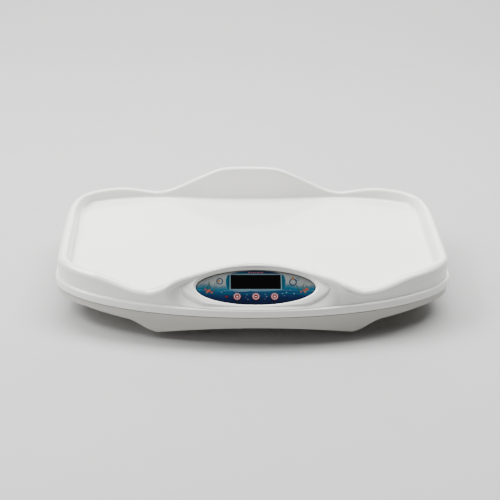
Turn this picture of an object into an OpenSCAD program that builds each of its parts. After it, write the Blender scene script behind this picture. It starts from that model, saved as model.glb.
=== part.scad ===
// Digital baby weighing scale: a white one-piece weighing tray with a display
// pod, carried by a single-point load cell over a shallow base housing.
// Millimetres, +Z up, +X to the right, +Y to the back.
// The origin is at the middle of the footprint, on the surface the feet touch.

/* [Tray outline] */
// Half of the tray's width, at its widest line
half_w = 280; // [240:1:320]
// Depth from the widest line to the front of the flange
front_d = 108.5; // [80:0.5:140]
// Depth from the widest line to the back of the flange
back_d = 228.5; // [180:0.5:260]
// Squareness of the two back corners
back_n = 6.5; // [3:0.1:9]
// Points along the front half of the outline
front_steps = 56; // [24:2:90]
// Points along the back half of the outline
back_steps = 56; // [24:2:90]

/* [Tray heights] */
// Height of the flange's lower edge
flange_z = 43.5; // [40:0.5:50]
// Height of the flange's rounded bead
bead_h = 12; // [6:0.5:16]
// Height of the floor at its edge
floor_z = 69; // [64:0.5:80]
// How far the floor dips in the middle
floor_dip = 6; // [0:0.5:12]
// Height of the rim along the two short sides
side_z = 85; // [76:0.5:96]
// Height of the low place in the front rim
dip_z = 73; // [70.5:0.5:84]
// Height of the rim beside the display pod
pod_side_z = 91.5; // [84:0.5:100]
// How much the rim rises further at the middle of the pod
pod_rise = 9.8; // [4:0.2:14]
// Height of the low places beside the back hump
back_low_z = 77; // [72:0.5:84]
// How much the back hump rises above them
hump_rise = 40; // [20:1:60]
// Half of the hump's width at its foot
hump_half_w = 148; // [110:1:180]
// Crown along the top of the hump
hump_crown = 2.5; // [0:0.1:6]

/* [Tray section] */
// Wall thickness of the tray
tray_wall = 2.6; // [2:0.1:4]
// Lip radius along the front and the sides
lip_r = 8; // [6:0.1:9.5]
// Lip radius along the back
lip_back_r = 4.5; // [3.5:0.1:6]
// Inset of the rim's crest along the front and the sides
crest_in = 12; // [9:0.5:18]
// Inset of the rim's crest along the back
crest_back_in = 9.5; // [7:0.5:14]
// How much further in the crest runs behind the display
crest_pod_in = 36.5; // [28:0.5:44]
// Slope of the inner wall at the sides and front
wall_slope = 70; // [55:1:80]
// Slope of the inner wall at the back
hump_slope = 82; // [70:1:86]
// Fillet between the floor and the wall
floor_fillet = 6; // [3:0.5:10]

/* [Display panel] */
// Tilt of the panel from the horizontal
panel_tilt = 40.7; // [25:0.1:60]
// Distance of the panel's middle behind the flange's front edge
panel_in = 26.9; // [18.5:0.1:38.5]
// Height of the panel's middle
panel_z = 76.5; // [70:0.1:84]
// Half of the oval's length
oval_a = 82; // [70:0.5:92]
// Half of the oval's height
oval_b = 25.3; // [20:0.1:30]
// Thickness of the fascia
fascia_t = 1.2; // [0.8:0.1:2]
// Gap around the fascia and the smoked window
panel_gap = 0.3; // [0.15:0.05:0.6]
// Length of the smoked window
window_w = 68; // [50:0.5:76]
// Height of the smoked window
window_h = 20; // [14:0.5:24]
// Window's middle above the oval's middle
window_up = 8; // [4:0.5:10]
// Thickness of the plate behind the fascia
plate_t = 2.7; // [2:0.1:3.5]
// Half of the eye-shaped pod's length
pod_half_w = 109.5; // [100:0.5:120]
// Height of the pod's upper arc
pod_up = 37.5; // [30:0.5:42]
// Height of the pod's lower arc
pod_down = 42; // [34:0.5:48]
// Height of the pod's face over the panel, at its middle
pod_lift = 3.4; // [2:0.1:6]

/* [Keys] */
// Radius of a key
key_r = 5.4; // [4:0.1:6.5]
// Distance between keys
key_pitch = 25.4; // [20:0.1:28]
// Keys' middle below the oval's middle
key_down = 13.3; // [10:0.1:16]
// How far a key stands out
key_proud = 0.9; // [0.5:0.1:1.5]
// How far a key travels
key_travel = 0.4; // [0.2:0.05:0.5]
// Gap around a key
key_gap = 0.4; // [0.3:0.05:0.6]
// Radius of the charge lamp
lamp_r = 1.5; // [1:0.1:2.5]

/* [Base housing] */
// Wall thickness of the base
base_wall = 2.6; // [2:0.1:4]
// Height of the base's upper edge
base_top = 42; // [38:0.5:43]
// Height of the wings' underside at their ends
wing_z = 33; // [28:0.5:36]
// Height of the wings' underside beside the pedestal
wing_low_z = 24; // [20:0.5:28]
// Height of the arch at its middle
arch_z = 25; // [18:0.5:26]
// Height of the pedestal's lowest edge
skirt_z = 11; // [8:0.5:13]
// Half of the pedestal's width at its lowest edge
pedestal_w = 134; // [132:1:150]
// Width of the curve up to the wings
sweep_w = 44; // [30:1:60]
// Inset of the base's band from the tray's flange
band_in = 2.5; // [1:0.1:5]
// Inset of the pedestal from the tray's flange
pedestal_in = 5.2; // [4:0.1:12]

/* [Load cell and frame] */
// Distance of the load cell from the footprint's middle
cell_y = 20; // [0:1:40]
// Length of the load cell
cell_l = 120; // [90:1:150]
// Width of the load cell
cell_w = 22; // [16:0.5:30]
// Height of the load cell
cell_h = 16; // [12:0.5:20]
// Thickness of each spacer
spacer_t = 2; // [1.5:0.1:2.5]
// Thickness of the two steel plates
steel_t = 2; // [1.5:0.1:2]
// Height of the mounting plate's underside
mount_z = 30; // [29.5:0.5:31]
// Half of the mounting plate's length
plate_hw = 72; // [70:1:80]
// Half of the mounting plate's depth
plate_hd = 30; // [28:1:36]
// Half of the carrier frame's length
frame_w = 112; // [108:1:130]
// Half of the carrier frame's depth
frame_d = 75; // [70:1:90]
// Gap under the frame at the overload stops
stop_gap = 0.6; // [0.55:0.01:1]
// Radius of the tray screws and plate screws
screw_r = 1.95; // [1.5:0.05:2]
// Radius of the load cell bolts and stop screws
bolt_r = 2.45; // [2:0.05:2.5]
// Clearance of a screw in its hole
hole_gap = 0.1; // [0.05:0.01:0.2]

/* [Power] */
// Radius of one battery cell
battery_r = 9.1; // [8.5:0.1:9.2]
// Length of the battery pack
battery_l = 67; // [60:1:68]
// Middle of the battery box from the footprint's middle
battery_x = -118; // [-120:1:-116]
// Height of the battery box's mouth
battery_z = 11; // [10.5:0.5:12]
// Rocker switch's middle
switch_x = 60; // [56:1:64]
// Charging socket's middle
socket_x = 92; // [88:1:96]
// Height of the switch and the socket
socket_z = 32.4; // [32.2:0.1:32.6]
// Distance of the switch's wall from the flange's back edge
back_panel_in = 10.5; // [9.5:0.5:12]
// Distance of the power board's middle from that wall
power_board_in = 52; // [48:1:56]
// Tilt of the rocker each way
rocker_tilt = 9; // [6:0.5:10]

/* [Feet] */
// Radius of a rubber foot
foot_r = 11; // [8:0.5:13]
// Half of the distance between the left and right feet
foot_x = 122; // [110:1:128]
// Distance of the front feet from the flange's front edge
foot_front_in = 60.5; // [48.5:1:78.5]
// Distance of the back feet from the flange's back edge
foot_back_in = 36.5; // [28.5:1:58.5]

/* [Hidden] */
wide_y = (front_d - back_d) / 2;
edge_y = (front_d + back_d) / 2;
panel_y = panel_in - edge_y;
foot_front_y = foot_front_in - edge_y;
foot_back_y = edge_y - foot_back_in;
flange_top = flange_z + bead_h;
base_in = base_wall + band_in;
mid_y = wide_y + 85;
plate_z = -fascia_t;
plate_bottom = -fascia_t - plate_t;
lower_spacer_z = mount_z + steel_t;
cell_z = lower_spacer_z + spacer_t;
upper_spacer_z = cell_z + cell_h;
frame_z = upper_spacer_z + spacer_t;
frame_top = frame_z + steel_t;
frame_screw_x = frame_w - 12;
frame_screw_dy = frame_d - 11;
stop_dy = frame_d - 25;
board_z = -11.5;
board_t = 1.6;
board_w = 120;
board_h = 38;
board_screw_x = board_w / 2 - 6;
board_screw_y = board_h / 2 - 4;
tact_h = 4;
plunger_top = board_z + tact_h + 1.0;
power_board_z = 29;
back_panel_y = edge_y - back_panel_in;
power_board_x = 60;
power_board_y = back_panel_y - power_board_in;
power_post_x = 25;
power_post_y = 17;
plate_screw_x = plate_hw - 8;
plate_screw_y = plate_hd - 7;
cell_bolt_x1 = cell_l / 2 - 7;
cell_bolt_x2 = cell_l / 2 - 20;
bow_turn = 0.8;
pod_turn = 0.21;
hollow_in = 3.1;
$fn = 48;

// ---- Outline -------------------------------------------------------------

function ss(v) = let(k = min(1, max(0, v))) k * k * (3 - 2 * k);
// Spokes run counter-clockwise from the right side: the back half first.
spokes = [
    for (i = [0:back_steps - 1]) [1, 180 * i / back_steps],
    for (i = [0:front_steps - 1]) [0, 180 + 180 * i / front_steps]];
n_spokes = len(spokes);

function edge(s) = s[0] == 1
    ? let(c = cos(s[1]), d = sin(s[1]),
        r = 1 / pow(pow(abs(c) / half_w, back_n) + pow(abs(d) / back_d, back_n), 1 / back_n))
        [r * c, r * d]
    : [half_w * cos(s[1]), front_d * sin(s[1])];
function slope(s) = let(p = edge(s),
    g = s[0] == 1
        ? [sign(p[0]) * pow(abs(p[0]) / half_w, back_n - 1) / half_w,
            pow(abs(p[1]) / back_d, back_n - 1) / back_d]
        : [p[0] / pow(half_w, 2), p[1] / pow(front_d, 2)])
    g / norm(g);
function inset(s, u) = let(p = edge(s) - slope(s) * u) [p[0], p[1] + wide_y];
// How far the spoke is toward the straight back, 0 at the sides
function backness(s) = s[0] == 1 ? ss((edge(s)[1] - 0.45 * back_d) / (0.4 * back_d)) : 0;
function pod_w(x) = let(w = max(0, 1 - abs(x) / (pod_half_w + 14.5)), v = w * w / (w + 0.06)) 1 - pow(1 - v, 3);

// ---- Section of the tray at one spoke --------------------------------------

function front_rim(x) = let(a = abs(x))
    a > 155 ? dip_z + (side_z - dip_z) * ss((a - 158) / 64)
    : dip_z + (pod_side_z - dip_z) * ss((150 - a) / 48)
        + pod_rise * pow(max(0, 1 - pow(a / 106, 2)), 1.5);
function back_rim(x) = let(a = abs(x))
    back_low_z + 8.5 * ss((a - 135) / 65) + (side_z - back_low_z - 8.5) * ss((a - 205) / 45)
    + hump_rise * ss((hump_half_w - a) / (0.8 * hump_half_w))
    + hump_crown * pow(max(0, 1 - pow(2 * a / hump_half_w, 2)), 1.5);
function crest_u(s) = s[0] == 1
    ? crest_in + (crest_back_in - crest_in) * backness(s)
    : crest_in + crest_pod_in * pod_w(edge(s)[0]);
function rim_z(s) = let(x = inset(s, crest_in)[0]) s[0] == 1 ? back_rim(x) : front_rim(x);
function lip(s) = s[0] == 1 ? lip_r + (lip_back_r - lip_r) * backness(s) : lip_r - 2.2 * pod_w(edge(s)[0]);
function psi(s) = wall_slope + (hump_slope - wall_slope) * backness(s);
function fall(s) = rim_z(s) - floor_z;
function lip2(s) = min(lip(s), 0.48 * fall(s) / (1 - cos(psi(s))));
function fil(s) = min(floor_fillet, 0.48 * fall(s) / (1 - cos(psi(s))));
function straight(s) = fall(s) - (lip2(s) + fil(s)) * (1 - cos(psi(s)));
function floor_u(s) = crest_u(s) + (lip2(s) + fil(s)) * sin(psi(s)) + straight(s) / tan(psi(s));

function outer_section(s) = let(c = crest_u(s), r = lip(s), z = rim_z(s), zc = z - r,
    r2 = lip2(s), z2 = z - r2, p = psi(s), f = floor_u(s), q = fil(s)) [
    [2.4, flange_z],
    [0.5, flange_z + 0.5],
    [0, flange_z + 1.8],
    [0, flange_top - 3.2],
    [0.8, flange_top - 1],
    [2.8, flange_top],
    [3.6, flange_top + 0.25],
    [4.1, flange_top + 1],
    [4.3, flange_top + 3],
    [c - r + 0.6, zc - max(0.34 * r + 0.5, min(4, 0.25 * (zc - flange_top)))],
    [c - r * cos(20), zc - r * sin(20)],
    [c - r, zc + 0.8],
    [c - r * cos(40), zc + r * sin(40)],
    [c - r * cos(68), zc + r * sin(68)],
    [c, z],
    [c + r2 * sin(0.33 * p), z2 + r2 * cos(0.33 * p)],
    [c + r2 * sin(0.67 * p), z2 + r2 * cos(0.67 * p)],
    [c + r2 * sin(p), z2 + r2 * cos(p)],
    [f - q * sin(p), floor_z + q * (1 - cos(p))],
    [f - q * sin(0.5 * p), floor_z + q * (1 - cos(0.5 * p))],
    [f, floor_z]];

function inner_section(s) = let(c = crest_u(s), r = lip(s), z = rim_z(s), zc = z - r,
    ri = max(0.6, lip2(s) - tray_wall), z2 = z - lip2(s), p = psi(s), f = floor_u(s),
    q = fil(s) + tray_wall) [
    [tray_wall, flange_z - 1],
    [tray_wall, flange_top - tray_wall - 0.8],
    [tray_wall + 1, flange_top - tray_wall],
    [5.2, flange_top - tray_wall + 0.5],
    [6.2, flange_top + 1.6],
    [c - r + 0.6 + tray_wall, min(zc, z2 - 0.3) - max(0.34 * r + 0.5, min(4, 0.25 * (zc - flange_top)))],
    [c - ri * cos(35), z2 + ri * sin(35)],
    [c, z2 + ri],
    [c + ri * sin(p), z2 + ri * cos(p)],
    [f - q * sin(p), floor_z + fil(s) - q * cos(p)],
    [f, floor_z - tray_wall]];

function floor_ring(s, k, drop) = let(e = inset(s, floor_u(s)))
    [e[0] * k, mid_y + (e[1] - mid_y) * k, floor_z - drop - floor_dip * (1 - k * k)];
function to3(s, p) = let(e = inset(s, p[0])) [e[0], e[1], p[1]];

// A closed skin through rings of points, with a point at each end
module skin(rings, bottom, top) {
    m = len(rings);
    n = n_spokes;
    polyhedron(
        points = concat([for (r = rings) for (p = r) p], [bottom, top]),
        faces = concat(
            [for (i = [0:m - 2]) for (j = [0:n - 1])
                [i * n + j, (i + 1) * n + j, (i + 1) * n + (j + 1) % n]],
            [for (i = [0:m - 2]) for (j = [0:n - 1])
                [i * n + j, (i + 1) * n + (j + 1) % n, i * n + (j + 1) % n]],
            [for (j = [0:n - 1]) [m * n, j, (j + 1) % n]],
            [for (j = [0:n - 1]) [(m - 1) * n + j, m * n + 1, (m - 1) * n + (j + 1) % n]]));
}
module tray_outside() {
    secs = [for (s = spokes) outer_section(s)];
    skin(concat(
        [for (i = [0:len(secs[0]) - 1]) [for (j = [0:n_spokes - 1]) to3(spokes[j], secs[j][i])]],
        [for (k = [0.72, 0.4]) [for (s = spokes) floor_ring(s, k, 0)]]),
        [0, mid_y, flange_z], [0, mid_y, floor_z - floor_dip]);
}
module tray_inside() {
    secs = [for (s = spokes) inner_section(s)];
    skin(concat(
        [for (i = [0:len(secs[0]) - 1]) [for (j = [0:n_spokes - 1]) to3(spokes[j], secs[j][i])]],
        [for (k = [0.72, 0.4]) [for (s = spokes) floor_ring(s, k, tray_wall)]]),
        [0, mid_y, flange_z - 1], [0, mid_y, floor_z - floor_dip - tray_wall]);
}
module outline(u) {
    polygon([for (s = spokes) inset(s, u)]);
}
// The rim's crest seen from above, moved inward by k
module crest_line(k) {
    polygon([for (s = base_spokes) inset(s, crest_u(s) + k)]);
}
// The bow of the front alone, for what lies near the middle
module front_bow(u) {
    r = half_w * half_w / front_d;
    translate([0, wide_y - front_d + r]) rotate([0, 0, bow_turn]) circle(r = r - u, $fn = 240);
}
// The base's outline has long flats where the curve is nearly straight.
base_turns = [18, 25, 29.5, 33, 36, 39, 42, 45.5, 50, 57, 66];
base_spokes = concat([for (a = base_turns) [1, a]],
    [for (i = [len(base_turns) - 1:-1:0]) [1, 180 - base_turns[i]]],
    [for (i = [0:36]) [0, 180 + 5 * i]]);
module base_outline(u) {
    polygon([for (s = base_spokes) inset(s, u)]);
}

// ---- Display pod -----------------------------------------------------------

module on_panel() {
    translate([0, panel_y, panel_z]) rotate([panel_tilt, 0, 0]) children();
}
module oval(a, b, h) {
    linear_extrude(height = h)
        polygon([for (i = [0:95]) [a * cos(i * 3.75), b * sin(i * 3.75)]]);
}
function arc_r(w, h) = (w * w + h * h) / (2 * h);
// The eye shape, made smaller all round by k
module eye(k) {
    ru = arc_r(pod_half_w, pod_up);
    rd = arc_r(pod_half_w, pod_down);
    intersection() {
        translate([0, pod_up - ru]) circle(r = ru - k, $fn = 144);
        translate([0, rd - pod_down]) circle(r = rd - k, $fn = 144);
    }
}
module pod_blank(k, depth) {
    hull() {
        for (v = [[0, -4.5], [0.5, -2.6], [1.8, -1], [4.2, 0]])
            rotate([4.2, 0, pod_turn]) translate([0, 0, pod_lift - k + v[1]])
                linear_extrude(height = 0.05) eye(k + v[0]);
        translate([0, 0, -depth]) linear_extrude(height = 0.05) eye(k);
    }
}
module rounded(w, h, r, t) {
    linear_extrude(height = t) {
        square([w - 2 * r, h], center = true);
        square([w, h - 2 * r], center = true);
        for (x = [-1, 1], y = [-1, 1]) translate([x * (w / 2 - r), y * (h / 2 - r)]) circle(r = r, $fn = 24);
    }
}
module tray() {
    color([0.95, 0.95, 0.94]) resize([0, 0, 0]) difference() {
        union() {
            difference() {
                union() {
                    tray_outside();
                    difference() {
                        intersection() {
                            on_panel() pod_blank(0, 12);
                            translate([0, 0, flange_top - 1]) linear_extrude(height = 60) front_bow(5);
                        }
                        linear_extrude(height = 150) crest_line(0.8);
                    }
                }
                tray_inside();
                intersection() {
                    on_panel() pod_blank(tray_wall + hollow_in, 9);
                    translate([0, 0, flange_top - 2]) linear_extrude(height = 60) front_bow(11.7);
                    translate([-board_w, -300, 0]) cube([2 * board_w, 300 + panel_y + 15.3, 200]);
                }
            }
            // Plate behind the fascia, and the posts for the display board
            on_panel() translate([0, 0, plate_bottom]) oval(oval_a + 2.5, oval_b + 1.6, plate_t);
            on_panel() for (x = [-1, 1], y = [-1, 1])
                translate([x * board_screw_x, y * board_screw_y, board_z]) cylinder(r = 3, h = -board_z + plate_bottom + 0.5, $fn = 26);
            // Bosses for the carrier frame
            for (x = [-1, 1], y = [-1, 1])
                translate([x * frame_screw_x, cell_y + y * frame_screw_dy, frame_top]) cylinder(r = 5, h = floor_z - 5.8 - frame_top, $fn = 32);
        }
        // Seat of the fascia, and the openings behind it
        on_panel() {
            translate([0, 0, plate_z]) oval(oval_a, oval_b, 30);
            translate([0, window_up, -6]) rounded(window_w - 5, window_h - 3, 1, 8);
            for (i = [-1:1]) translate([i * key_pitch, -key_down, -6]) cylinder(r = key_r + key_gap, h = 8, $fn = 32);
            translate([-key_pitch - 14.5, -key_down + 0.3, -6]) cylinder(r = lamp_r + 0.3, h = 8, $fn = 20);
            for (x = [-1, 1], y = [-1, 1])
                translate([x * board_screw_x, y * board_screw_y, board_z - 1]) cylinder(r = 1.15, h = 7.5, $fn = 20);
        }
        for (x = [-1, 1], y = [-1, 1])
            translate([x * frame_screw_x, cell_y + y * frame_screw_dy, frame_top - 1]) cylinder(r = screw_r + hole_gap, h = 9, $fn = 32);
    }
}

module fascia() {
    color([0.1, 0.35, 0.6]) on_panel() translate([0, 0, -fascia_t]) difference() {
        oval(oval_a - panel_gap, oval_b - panel_gap, fascia_t);
        translate([0, window_up, -1]) rounded(window_w + 2 * panel_gap, window_h + 2 * panel_gap, 1.5, 4);
        for (i = [-1:1]) translate([i * key_pitch, -key_down, -1]) cylinder(r = key_r + key_gap, h = 4);
        translate([-key_pitch - 14.5, -key_down + 0.3, -1]) cylinder(r = lamp_r + 0.3, h = 4);
    }
}
module window() {
    color([0.05, 0.05, 0.06, 0.7]) on_panel() translate([0, window_up, -fascia_t]) rounded(window_w, window_h, 1.2, fascia_t - 0.1);
}

// ---- Display electronics -----------------------------------------------------

module digit_modules() {
    h = plate_bottom - 0.6 - board_z;
    color([0.12, 0.12, 0.13]) on_panel() difference() {
        translate([-window_w / 2 + 2, window_up - 9.5, board_z]) cube([window_w - 4, 19, h]);
        // Parting lines between the digits
        for (i = [-2:1]) translate([i * 12.6 + 5.4, window_up - 10, board_z + h - 0.4]) cube([0.4, 20, 1]);
    }
}
module digit(w, h, t) {
    s = 1.5;
    linear_extrude(height = t) {
        for (y = [-h / 2 + s / 2, 0, h / 2 - s / 2]) translate([0, y]) square([w - 2 * s - 0.6, s], center = true);
        for (x = [-1, 1], y = [-1, 1]) translate([x * (w / 2 - s / 2), y * (h / 4)]) square([s, h / 2 - s / 2 - 1.1], center = true);
        translate([w / 2 + 1.5, -h / 2 + s / 2]) circle(r = 0.8);
    }
}
module digit_segments() {
    color([0.35, 0.1, 0.09]) on_panel() for (i = [-2:2])
        translate([i * 12.6 - 0.6, window_up, plate_bottom - 0.6]) digit(7.4, 13.4, 0.3);
}
module display_board() {
    color([0.1, 0.35, 0.2]) on_panel() difference() {
        translate([-board_w / 2, -board_h / 2, board_z - board_t]) cube([board_w, board_h, board_t]);
        for (x = [-1, 1], y = [-1, 1]) translate([x * board_screw_x, y * board_screw_y, board_z - 4]) cylinder(r = 1.4, h = 6);
    }
}
module display_board_parts() {
    color([0.15, 0.15, 0.16]) on_panel() translate([0, 0, board_z - board_t]) mirror([0, 0, 1]) {
        translate([-14, -7, 0]) cube([14, 14, 1.5]);
        translate([8, 2, 0]) cube([8, 6, 1.5]);
        translate([24, -4, 0]) cylinder(r = 5, h = 4);
        translate([38, -12, 0]) cube([10, 6, 5]);
        translate([-48, -10, 0]) cube([12, 6, 5]);
        translate([-30, 6, 0]) cube([10, 4, 3.5]);
    }
}
module tact_switches() {
    color([0.2, 0.2, 0.21]) on_panel() for (i = [-1:1]) difference() {
        translate([i * key_pitch - 3, -key_down - 3, board_z]) cube([6, 6, tact_h]);
        translate([i * key_pitch, -key_down, board_z + 1.5]) cylinder(r = 1.9, h = 5);
    }
}
module charge_lamp() {
    color([0.8, 0.1, 0.08]) on_panel() translate([-key_pitch - 14.5, -key_down + 0.3, board_z]) {
        cylinder(r = lamp_r + 0.4, h = 4);
        cylinder(r = lamp_r, h = -board_z - 0.2);
    }
}
module board_screws() {
    color([0.7, 0.7, 0.72]) on_panel() for (x = [-1, 1], y = [-1, 1])
        translate([x * board_screw_x, y * board_screw_y, board_z - board_t]) {
            cylinder(r = 1.05, h = 6.5);
            difference() {
                translate([0, 0, -1.6]) cylinder(r = 2.4, h = 1.6);
                translate([-1.6, -0.3, -2]) cube([3.2, 0.6, 1.2]);
                translate([-0.3, -1.6, -2]) cube([0.6, 3.2, 1.2]);
            }
        }
}
// One key: cap, retaining flange and stem
module key(i) {
    on_panel() translate([i * key_pitch, -key_down, 0]) rotate_extrude()
        polygon([[0, plunger_top], [1.7, plunger_top], [1.7, plate_bottom - 1.1], [key_r + 1.5, plate_bottom - 1.1],
            [key_r + 1.5, plate_bottom - 0.3], [key_r, plate_bottom - 0.3], [key_r, key_proud - 0.45],
            [key_r - 0.15, key_proud - 0.15], [key_r - 0.6, key_proud], [3, key_proud], [2.6, key_proud - 0.2], [0, key_proud - 0.3]]);
}
module key_left() { color([0.75, 0.55, 0.58]) key(-1); }
module key_middle() { color([0.75, 0.55, 0.58]) key(0); }
module key_right() { color([0.75, 0.55, 0.58]) key(1); }
module plunger(i) {
    on_panel() translate([i * key_pitch, -key_down, board_z + 2.2]) cylinder(r = 1.6, h = plunger_top - board_z - 2.2);
}
module plunger_left() { color([0.85, 0.85, 0.8]) plunger(-1); }
module plunger_middle() { color([0.85, 0.85, 0.8]) plunger(0); }
module plunger_right() { color([0.85, 0.85, 0.8]) plunger(1); }

// ---- Carrier frame and load cell -----------------------------------------------

module at_frame_corners(dy) {
    for (x = [-1, 1], y = [-1, 1]) translate([x * frame_screw_x, cell_y + y * dy, 0]) children();
}
module carrier_frame() {
    color([0.72, 0.73, 0.74]) difference() {
        union() {
            translate([-frame_w, cell_y - frame_d, frame_z]) cube([2 * frame_w, 2 * frame_d, steel_t]);
            // Turned-down edges along the front and the back
            for (y = [-1, 1]) translate([-frame_w + 26, cell_y + y * (frame_d - steel_t / 2) - steel_t / 2, frame_z - 8]) cube([2 * frame_w - 52, steel_t, 8.5]);
        }
        for (y = [-1, 1]) translate([-frame_w + 24, cell_y + y * (frame_d / 2 + 3) - (frame_d / 2 - 15), frame_z - 1]) cube([2 * frame_w - 48, frame_d - 30, steel_t + 2]);
        at_frame_corners(frame_screw_dy) translate([0, 0, frame_z - 1]) cylinder(r = screw_r + 0.35, h = steel_t + 2);
        for (x = [cell_bolt_x1, cell_bolt_x2]) translate([x, cell_y, frame_z - 1]) cylinder(r = bolt_r + 0.25, h = steel_t + 2);
    }
}
module spacer(x, z) {
    difference() {
        translate([x > 0 ? x - 26 : x, cell_y - cell_w / 2, z]) cube([26, cell_w, spacer_t]);
        for (k = [7, 20]) translate([x > 0 ? x - k : x + k, cell_y, z - 1]) cylinder(r = bolt_r + 0.25, h = spacer_t + 2);
    }
}
module frame_spacer() { color([0.6, 0.6, 0.62]) spacer(cell_l / 2, upper_spacer_z); }
module mount_spacer() { color([0.6, 0.6, 0.62]) spacer(-cell_l / 2, lower_spacer_z); }
module hex_bolt(r, grip, head_h, head_r) {
    // Shank upward from the seat, head below it
    cylinder(r = r, h = grip);
    difference() {
        translate([0, 0, -head_h]) cylinder(r = head_r, h = head_h);
        translate([0, 0, -head_h - 0.1]) cylinder(r = r * 0.8, h = head_h * 0.6, $fn = 6);
    }
}
module frame_bolts() {
    color([0.45, 0.45, 0.47]) for (x = [cell_bolt_x1, cell_bolt_x2])
        translate([x, cell_y, frame_top]) mirror([0, 0, 1]) hex_bolt(bolt_r, steel_t + spacer_t + 9, 2.8, 4.2);
}
module mount_bolts() {
    color([0.45, 0.45, 0.47]) for (x = [cell_bolt_x1, cell_bolt_x2])
        translate([-x, cell_y, mount_z]) hex_bolt(bolt_r, steel_t + spacer_t + 9, 2.8, 4.2);
}
module tray_screws() {
    color([0.7, 0.7, 0.72]) at_frame_corners(frame_screw_dy) translate([0, 0, frame_z]) hex_bolt(screw_r, steel_t + 7.5, 2.2, 3.8);
}
module load_cell() {
    color([0.78, 0.79, 0.8]) difference() {
        translate([-cell_l / 2, cell_y - cell_w / 2, cell_z]) cube([cell_l, cell_w, cell_h]);
        // Two joined round holes through the middle leave the thin bending webs
        for (x = [-11, 11]) translate([x, cell_y + cell_w, cell_z + cell_h / 2]) rotate([90, 0, 0]) cylinder(r = cell_h / 2 - 1.8, h = 2 * cell_w);
        translate([-11, cell_y - cell_w, cell_z + cell_h / 2 - 2]) cube([22, 2 * cell_w, 4]);
        for (x = [cell_bolt_x1, cell_bolt_x2]) {
            translate([x, cell_y, cell_z + cell_h - 9.5]) cylinder(r = bolt_r + 0.05, h = 12);
            translate([-x, cell_y, cell_z - 2.5]) cylinder(r = bolt_r + 0.05, h = 12);
        }
        translate([cell_l / 2 - 6, cell_y, cell_z + 3.4]) rotate([0, 90, 0]) cylinder(r = 1.9, h = 10);
    }
}
module gauge_cover() {
    // White sealant over the strain gauges
    color([0.9, 0.9, 0.88]) for (z = [cell_z - 0.6, cell_z + cell_h]) translate([-19, cell_y - 7, z]) cube([38, 14, 0.6]);
}
module mount_plate() {
    color([0.72, 0.73, 0.74]) difference() {
        translate([-plate_hw, cell_y - plate_hd, mount_z]) cube([2 * plate_hw, 2 * plate_hd, steel_t]);
        for (x = [-plate_screw_x, plate_screw_x], y = [-plate_screw_y, plate_screw_y]) translate([x, cell_y + y, mount_z - 1]) cylinder(r = screw_r + 0.35, h = steel_t + 2);
        for (x = [cell_bolt_x1, cell_bolt_x2]) translate([-x, cell_y, mount_z - 1]) cylinder(r = bolt_r + 0.25, h = steel_t + 2);
        translate([20, cell_y - 12, mount_z - 1]) cube([28, 24, steel_t + 2]);
    }
}
module mount_screws() {
    color([0.7, 0.7, 0.72]) for (x = [-plate_screw_x, plate_screw_x], y = [-plate_screw_y, plate_screw_y])
        translate([x, cell_y + y, mount_z + steel_t]) mirror([0, 0, 1]) hex_bolt(screw_r, 7, 2.2, 3.8);
}
module at_stops() {
    for (x = [-1, 1], y = [-1, 1]) translate([x * frame_screw_x, cell_y + y * stop_dy, 0]) children();
}
module stop_screws() {
    color([0.55, 0.55, 0.57]) at_stops() {
        translate([0, 0, 27]) cylinder(r = bolt_r, h = frame_z - stop_gap - 27 - 0.6);
        translate([0, 0, frame_z - stop_gap - 0.6]) cylinder(r1 = bolt_r, r2 = bolt_r - 0.6, h = 0.6);
    }
}
module stop_nuts() {
    color([0.6, 0.6, 0.62]) at_stops() translate([0, 0, 40]) difference() {
        cylinder(r = 4.6, h = 4, $fn = 6);
        translate([0, 0, -1]) cylinder(r = bolt_r + 0.05, h = 6);
    }
}

// ---- Base housing -----------------------------------------------------------------

function soffit(x) = let(a = abs(x),
    arch = a < pedestal_w ? skirt_z + (arch_z - skirt_z) * (1 - pow(a / pedestal_w, 2)) : skirt_z,
    rise = (wing_z - wing_low_z) * min(1, max(0, (a - pedestal_w - 16) / 104)))
    max(arch, skirt_z + (wing_low_z - skirt_z) * ss((a - pedestal_w + 2) / sweep_w) + rise);
wing_x = concat([for (x = [pedestal_w + 2:4:pedestal_w + sweep_w]) x], [pedestal_w + 120]);
soffit_x = concat([for (i = [len(wing_x) - 1:-1:0]) -wing_x[i]],
    [for (i = [-12:12]) i * pedestal_w / 12], wing_x);
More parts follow.
